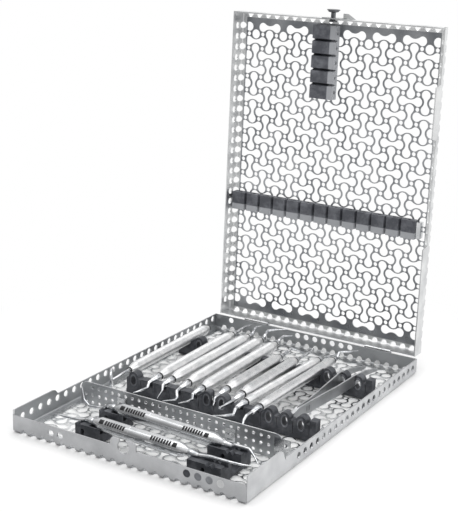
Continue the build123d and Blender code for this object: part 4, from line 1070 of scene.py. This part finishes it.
def instrument_set(finishes: Finishes) -> list[HandInstrument]:
    """The instruments in the racks and the two probes, from left to right, not yet built."""
    return [
        MouthMirror(finishes, "mouth_mirror", (-80.7, -22.8), (-82.5, 98.0), 4.3, Grip.RIBBED, (), ()),
        *(HandInstrument(finishes, *row) for row in RACK_ROWS),
        Probe(finishes, "rear_probe", (-46.0, -88.6), (54.0, -94.4), 5.0, Grip.PLAIN,
              ((-59.0, -88.0, 10.6), (-71.8, -87.0, 9.0), (-78.3, -85.0, 11.6), (-84.6, -80.0, 19.6)),
              ((64.0, -95.0, 15.6), (76.5, -96.0, 16.2), (82.8, -100.0, 14.1), (88.4, -104.0, 11.1)),
              insets=(8.2, 10.6)),
        Probe(finishes, "front_probe", (-44.0, -117.4), (42.0, -120.4), 5.0, Grip.PLAIN,
              ((-56.0, -117.5, 12.6), (-70.0, -118.0, 11.8), (-80.5, -118.0, 11.6)),
              ((60.0, -120.6, 15.5), (74.6, -121.0, 16.0), (84.0, -120.0, 16.2), (91.2, -118.0, 16.3))),
    ]


# ---------------- the studio


@dataclass
class Studio:
    """The pale floor, the soft lamps and the camera at the photograph's angle.

    Args:
        azimuth: the camera's degrees round to the right.
        elevation: its degrees of looking down.
        roll: its tilt in degrees.
        eye: its place in the tray's frame, in millimetres.
        focal_px: its focal length in the photograph's pixels.
        principal: the photograph's pixel on its axis.
        image: the photograph's size.
        sensor: its sensor's width in millimetres.
        floor_size: side of the floor in metres.
        floor_fade: distances in metres over which the floor turns into the white background.
        room_up: direction from the room's grey part to its white part.
        room_reach: how far along it the change runs.
        room_light: strength of the grey and of the white part.
        aim: what the lamps point at, in metres.
        lamps: name, place and side in metres, and watts.
    """

    azimuth: float = 30.854
    elevation: float = 15.04
    roll: float = 1.517
    eye: Point = (470.80, -777.14, 390.07)
    focal_px: float = 1222.944
    principal: Spot = (240.0, 225.0)
    image: tuple[int, int] = (458, 512)
    sensor: float = 36.0
    floor_size: float = 12.0
    floor_fade: Span = (0.17, 0.3)
    room_up: Point = (0.3, 0.6, 0.7)
    room_reach: float = 0.6
    room_light: Span = (0.25, 1.0)
    aim: Point = (0.0, 0.0, 0.08)
    lamps: tuple[tuple[str, Point, float, float], ...] = (
        ("key", (-0.4, -0.3, 1.8), 1.3, 7.0),
        ("fill", (1.6, 0.1, 0.9), 1.2, 5.0),
        ("top", (0.0, 0.6, 1.8), 1.6, 8.0),
    )

    def build(self) -> None:
        """Make floor, world, lamps and camera."""
        self.floor()
        self.world()
        for name, place, size, watts in self.lamps:
            self.lamp(name, place, size, watts)
        self.camera()
        bpy.context.scene.view_settings.view_transform = "Standard"

    def floor(self) -> None:
        """A pale matte floor that fades to the white background far from the cassette."""
        clear_selection()
        bpy.ops.mesh.primitive_plane_add(size=self.floor_size)
        floor = bpy.context.object
        floor.name = "studio_floor"
        surface = Surface("pale_studio_floor", {"Roughness": 0.9, "Base Color": linear("F4F4F4")})
        ray = surface.add("ShaderNodeLightPath", {}).outputs
        seen = surface.compute("Math", "MAXIMUM", ray["Is Camera Ray"], ray["Is Glossy Ray"])
        distance = surface.compute("VectorMath", "LENGTH", surface.place["Object"])
        far = surface.spread(distance, self.floor_fade, interpolation_type="SMOOTHSTEP")
        white = surface.add("ShaderNodeEmission", {"Color": WHITE, "Strength": 1.0})
        mix = surface.add("ShaderNodeMixShader", {0: surface.compute("Math", "MULTIPLY", far, seen),
                                                  1: surface.shader.outputs["BSDF"],
                                                  2: white.outputs["Emission"]})
        surface.fill(surface.tree.nodes["Material Output"], {"Surface": mix.outputs["Shader"]})
        floor.data.materials.append(surface.material)

    def world(self) -> None:
        """A room that is white behind and above the cassette and grey in front of it."""
        world = bpy.data.worlds.new("studio_room")
        bpy.context.scene.world = world
        world.use_nodes = True
        nodes = Nodes(world.node_tree)
        height = nodes.compute("VectorMath", "DOT_PRODUCT", nodes.place["Generated"], self.room_up)
        room = nodes.spread(height, (-self.room_reach, self.room_reach), self.room_light,
                            interpolation_type="SMOOTHSTEP")
        ray = nodes.add("ShaderNodeLightPath", {}).outputs
        strength = nodes.compute("Math", "MAXIMUM", ray["Is Camera Ray"], room)
        nodes.fill(nodes.tree.nodes["Background"], {"Color": WHITE, "Strength": strength})

    def lamp(self, name: str, place: Point, size: float, watts: float) -> None:
        """Add one soft square lamp that points at the cassette.

        Args:
            name: the lamp's name.
            place: where it hangs, in metres.
            size: its side in metres.
            watts: its power.
        """
        clear_selection()
        bpy.ops.object.light_add(type="AREA", location=place)
        lamp = bpy.context.object
        lamp.name = f"{name}_lamp"
        lamp.data.size = size
        lamp.data.energy = watts
        lamp.rotation_euler = (Vector(self.aim) - Vector(place)).to_track_quat("-Z", "Y").to_euler()

    def camera(self) -> None:
        """Set the camera where the photograph was taken from."""
        azimuth, elevation, roll = (math.radians(v) for v in (self.azimuth, self.elevation, self.roll))
        level = math.cos(elevation)
        ahead = Vector((-math.sin(azimuth) * level, math.cos(azimuth) * level, -math.sin(elevation)))
        right = Vector((math.cos(azimuth), math.sin(azimuth), 0.0))
        up = right.cross(ahead)
        tilted_right = right * math.cos(roll) + up * math.sin(roll)
        tilted_up = up * math.cos(roll) - right * math.sin(roll)
        turn = Matrix((tilted_right, tilted_up, -ahead)).transposed().to_4x4()
        clear_selection()
        bpy.ops.object.camera_add()
        camera = bpy.context.object
        camera.matrix_world = Matrix.Translation(spot(*self.eye)) @ turn
        camera.data.sensor_width = self.sensor
        camera.data.lens = self.focal_px / max(self.image) * self.sensor
        camera.data.shift_x = (self.image[0] / 2 - self.principal[0]) / max(self.image)
        camera.data.shift_y = (self.principal[1] - self.image[1] / 2) / max(self.image)
        bpy.context.scene.camera = camera


def main() -> None:
    """Build the studio and every sub-assembly in order."""
    logging.basicConfig(level=logging.INFO, format="%(name)s: %(message)s")
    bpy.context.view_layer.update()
    Studio().build()
    finishes = Finishes()
    SheetMetal(finishes).build()
    LatchStud(finishes).build()
    MarkerPlugs(finishes).build()
    SiliconeRacks(finishes).build()
    for instrument in instrument_set(finishes):
        instrument.build()
    Tweezers(finishes).build()
    bpy.context.view_layer.update()


if __name__ == "__main__":
    main()
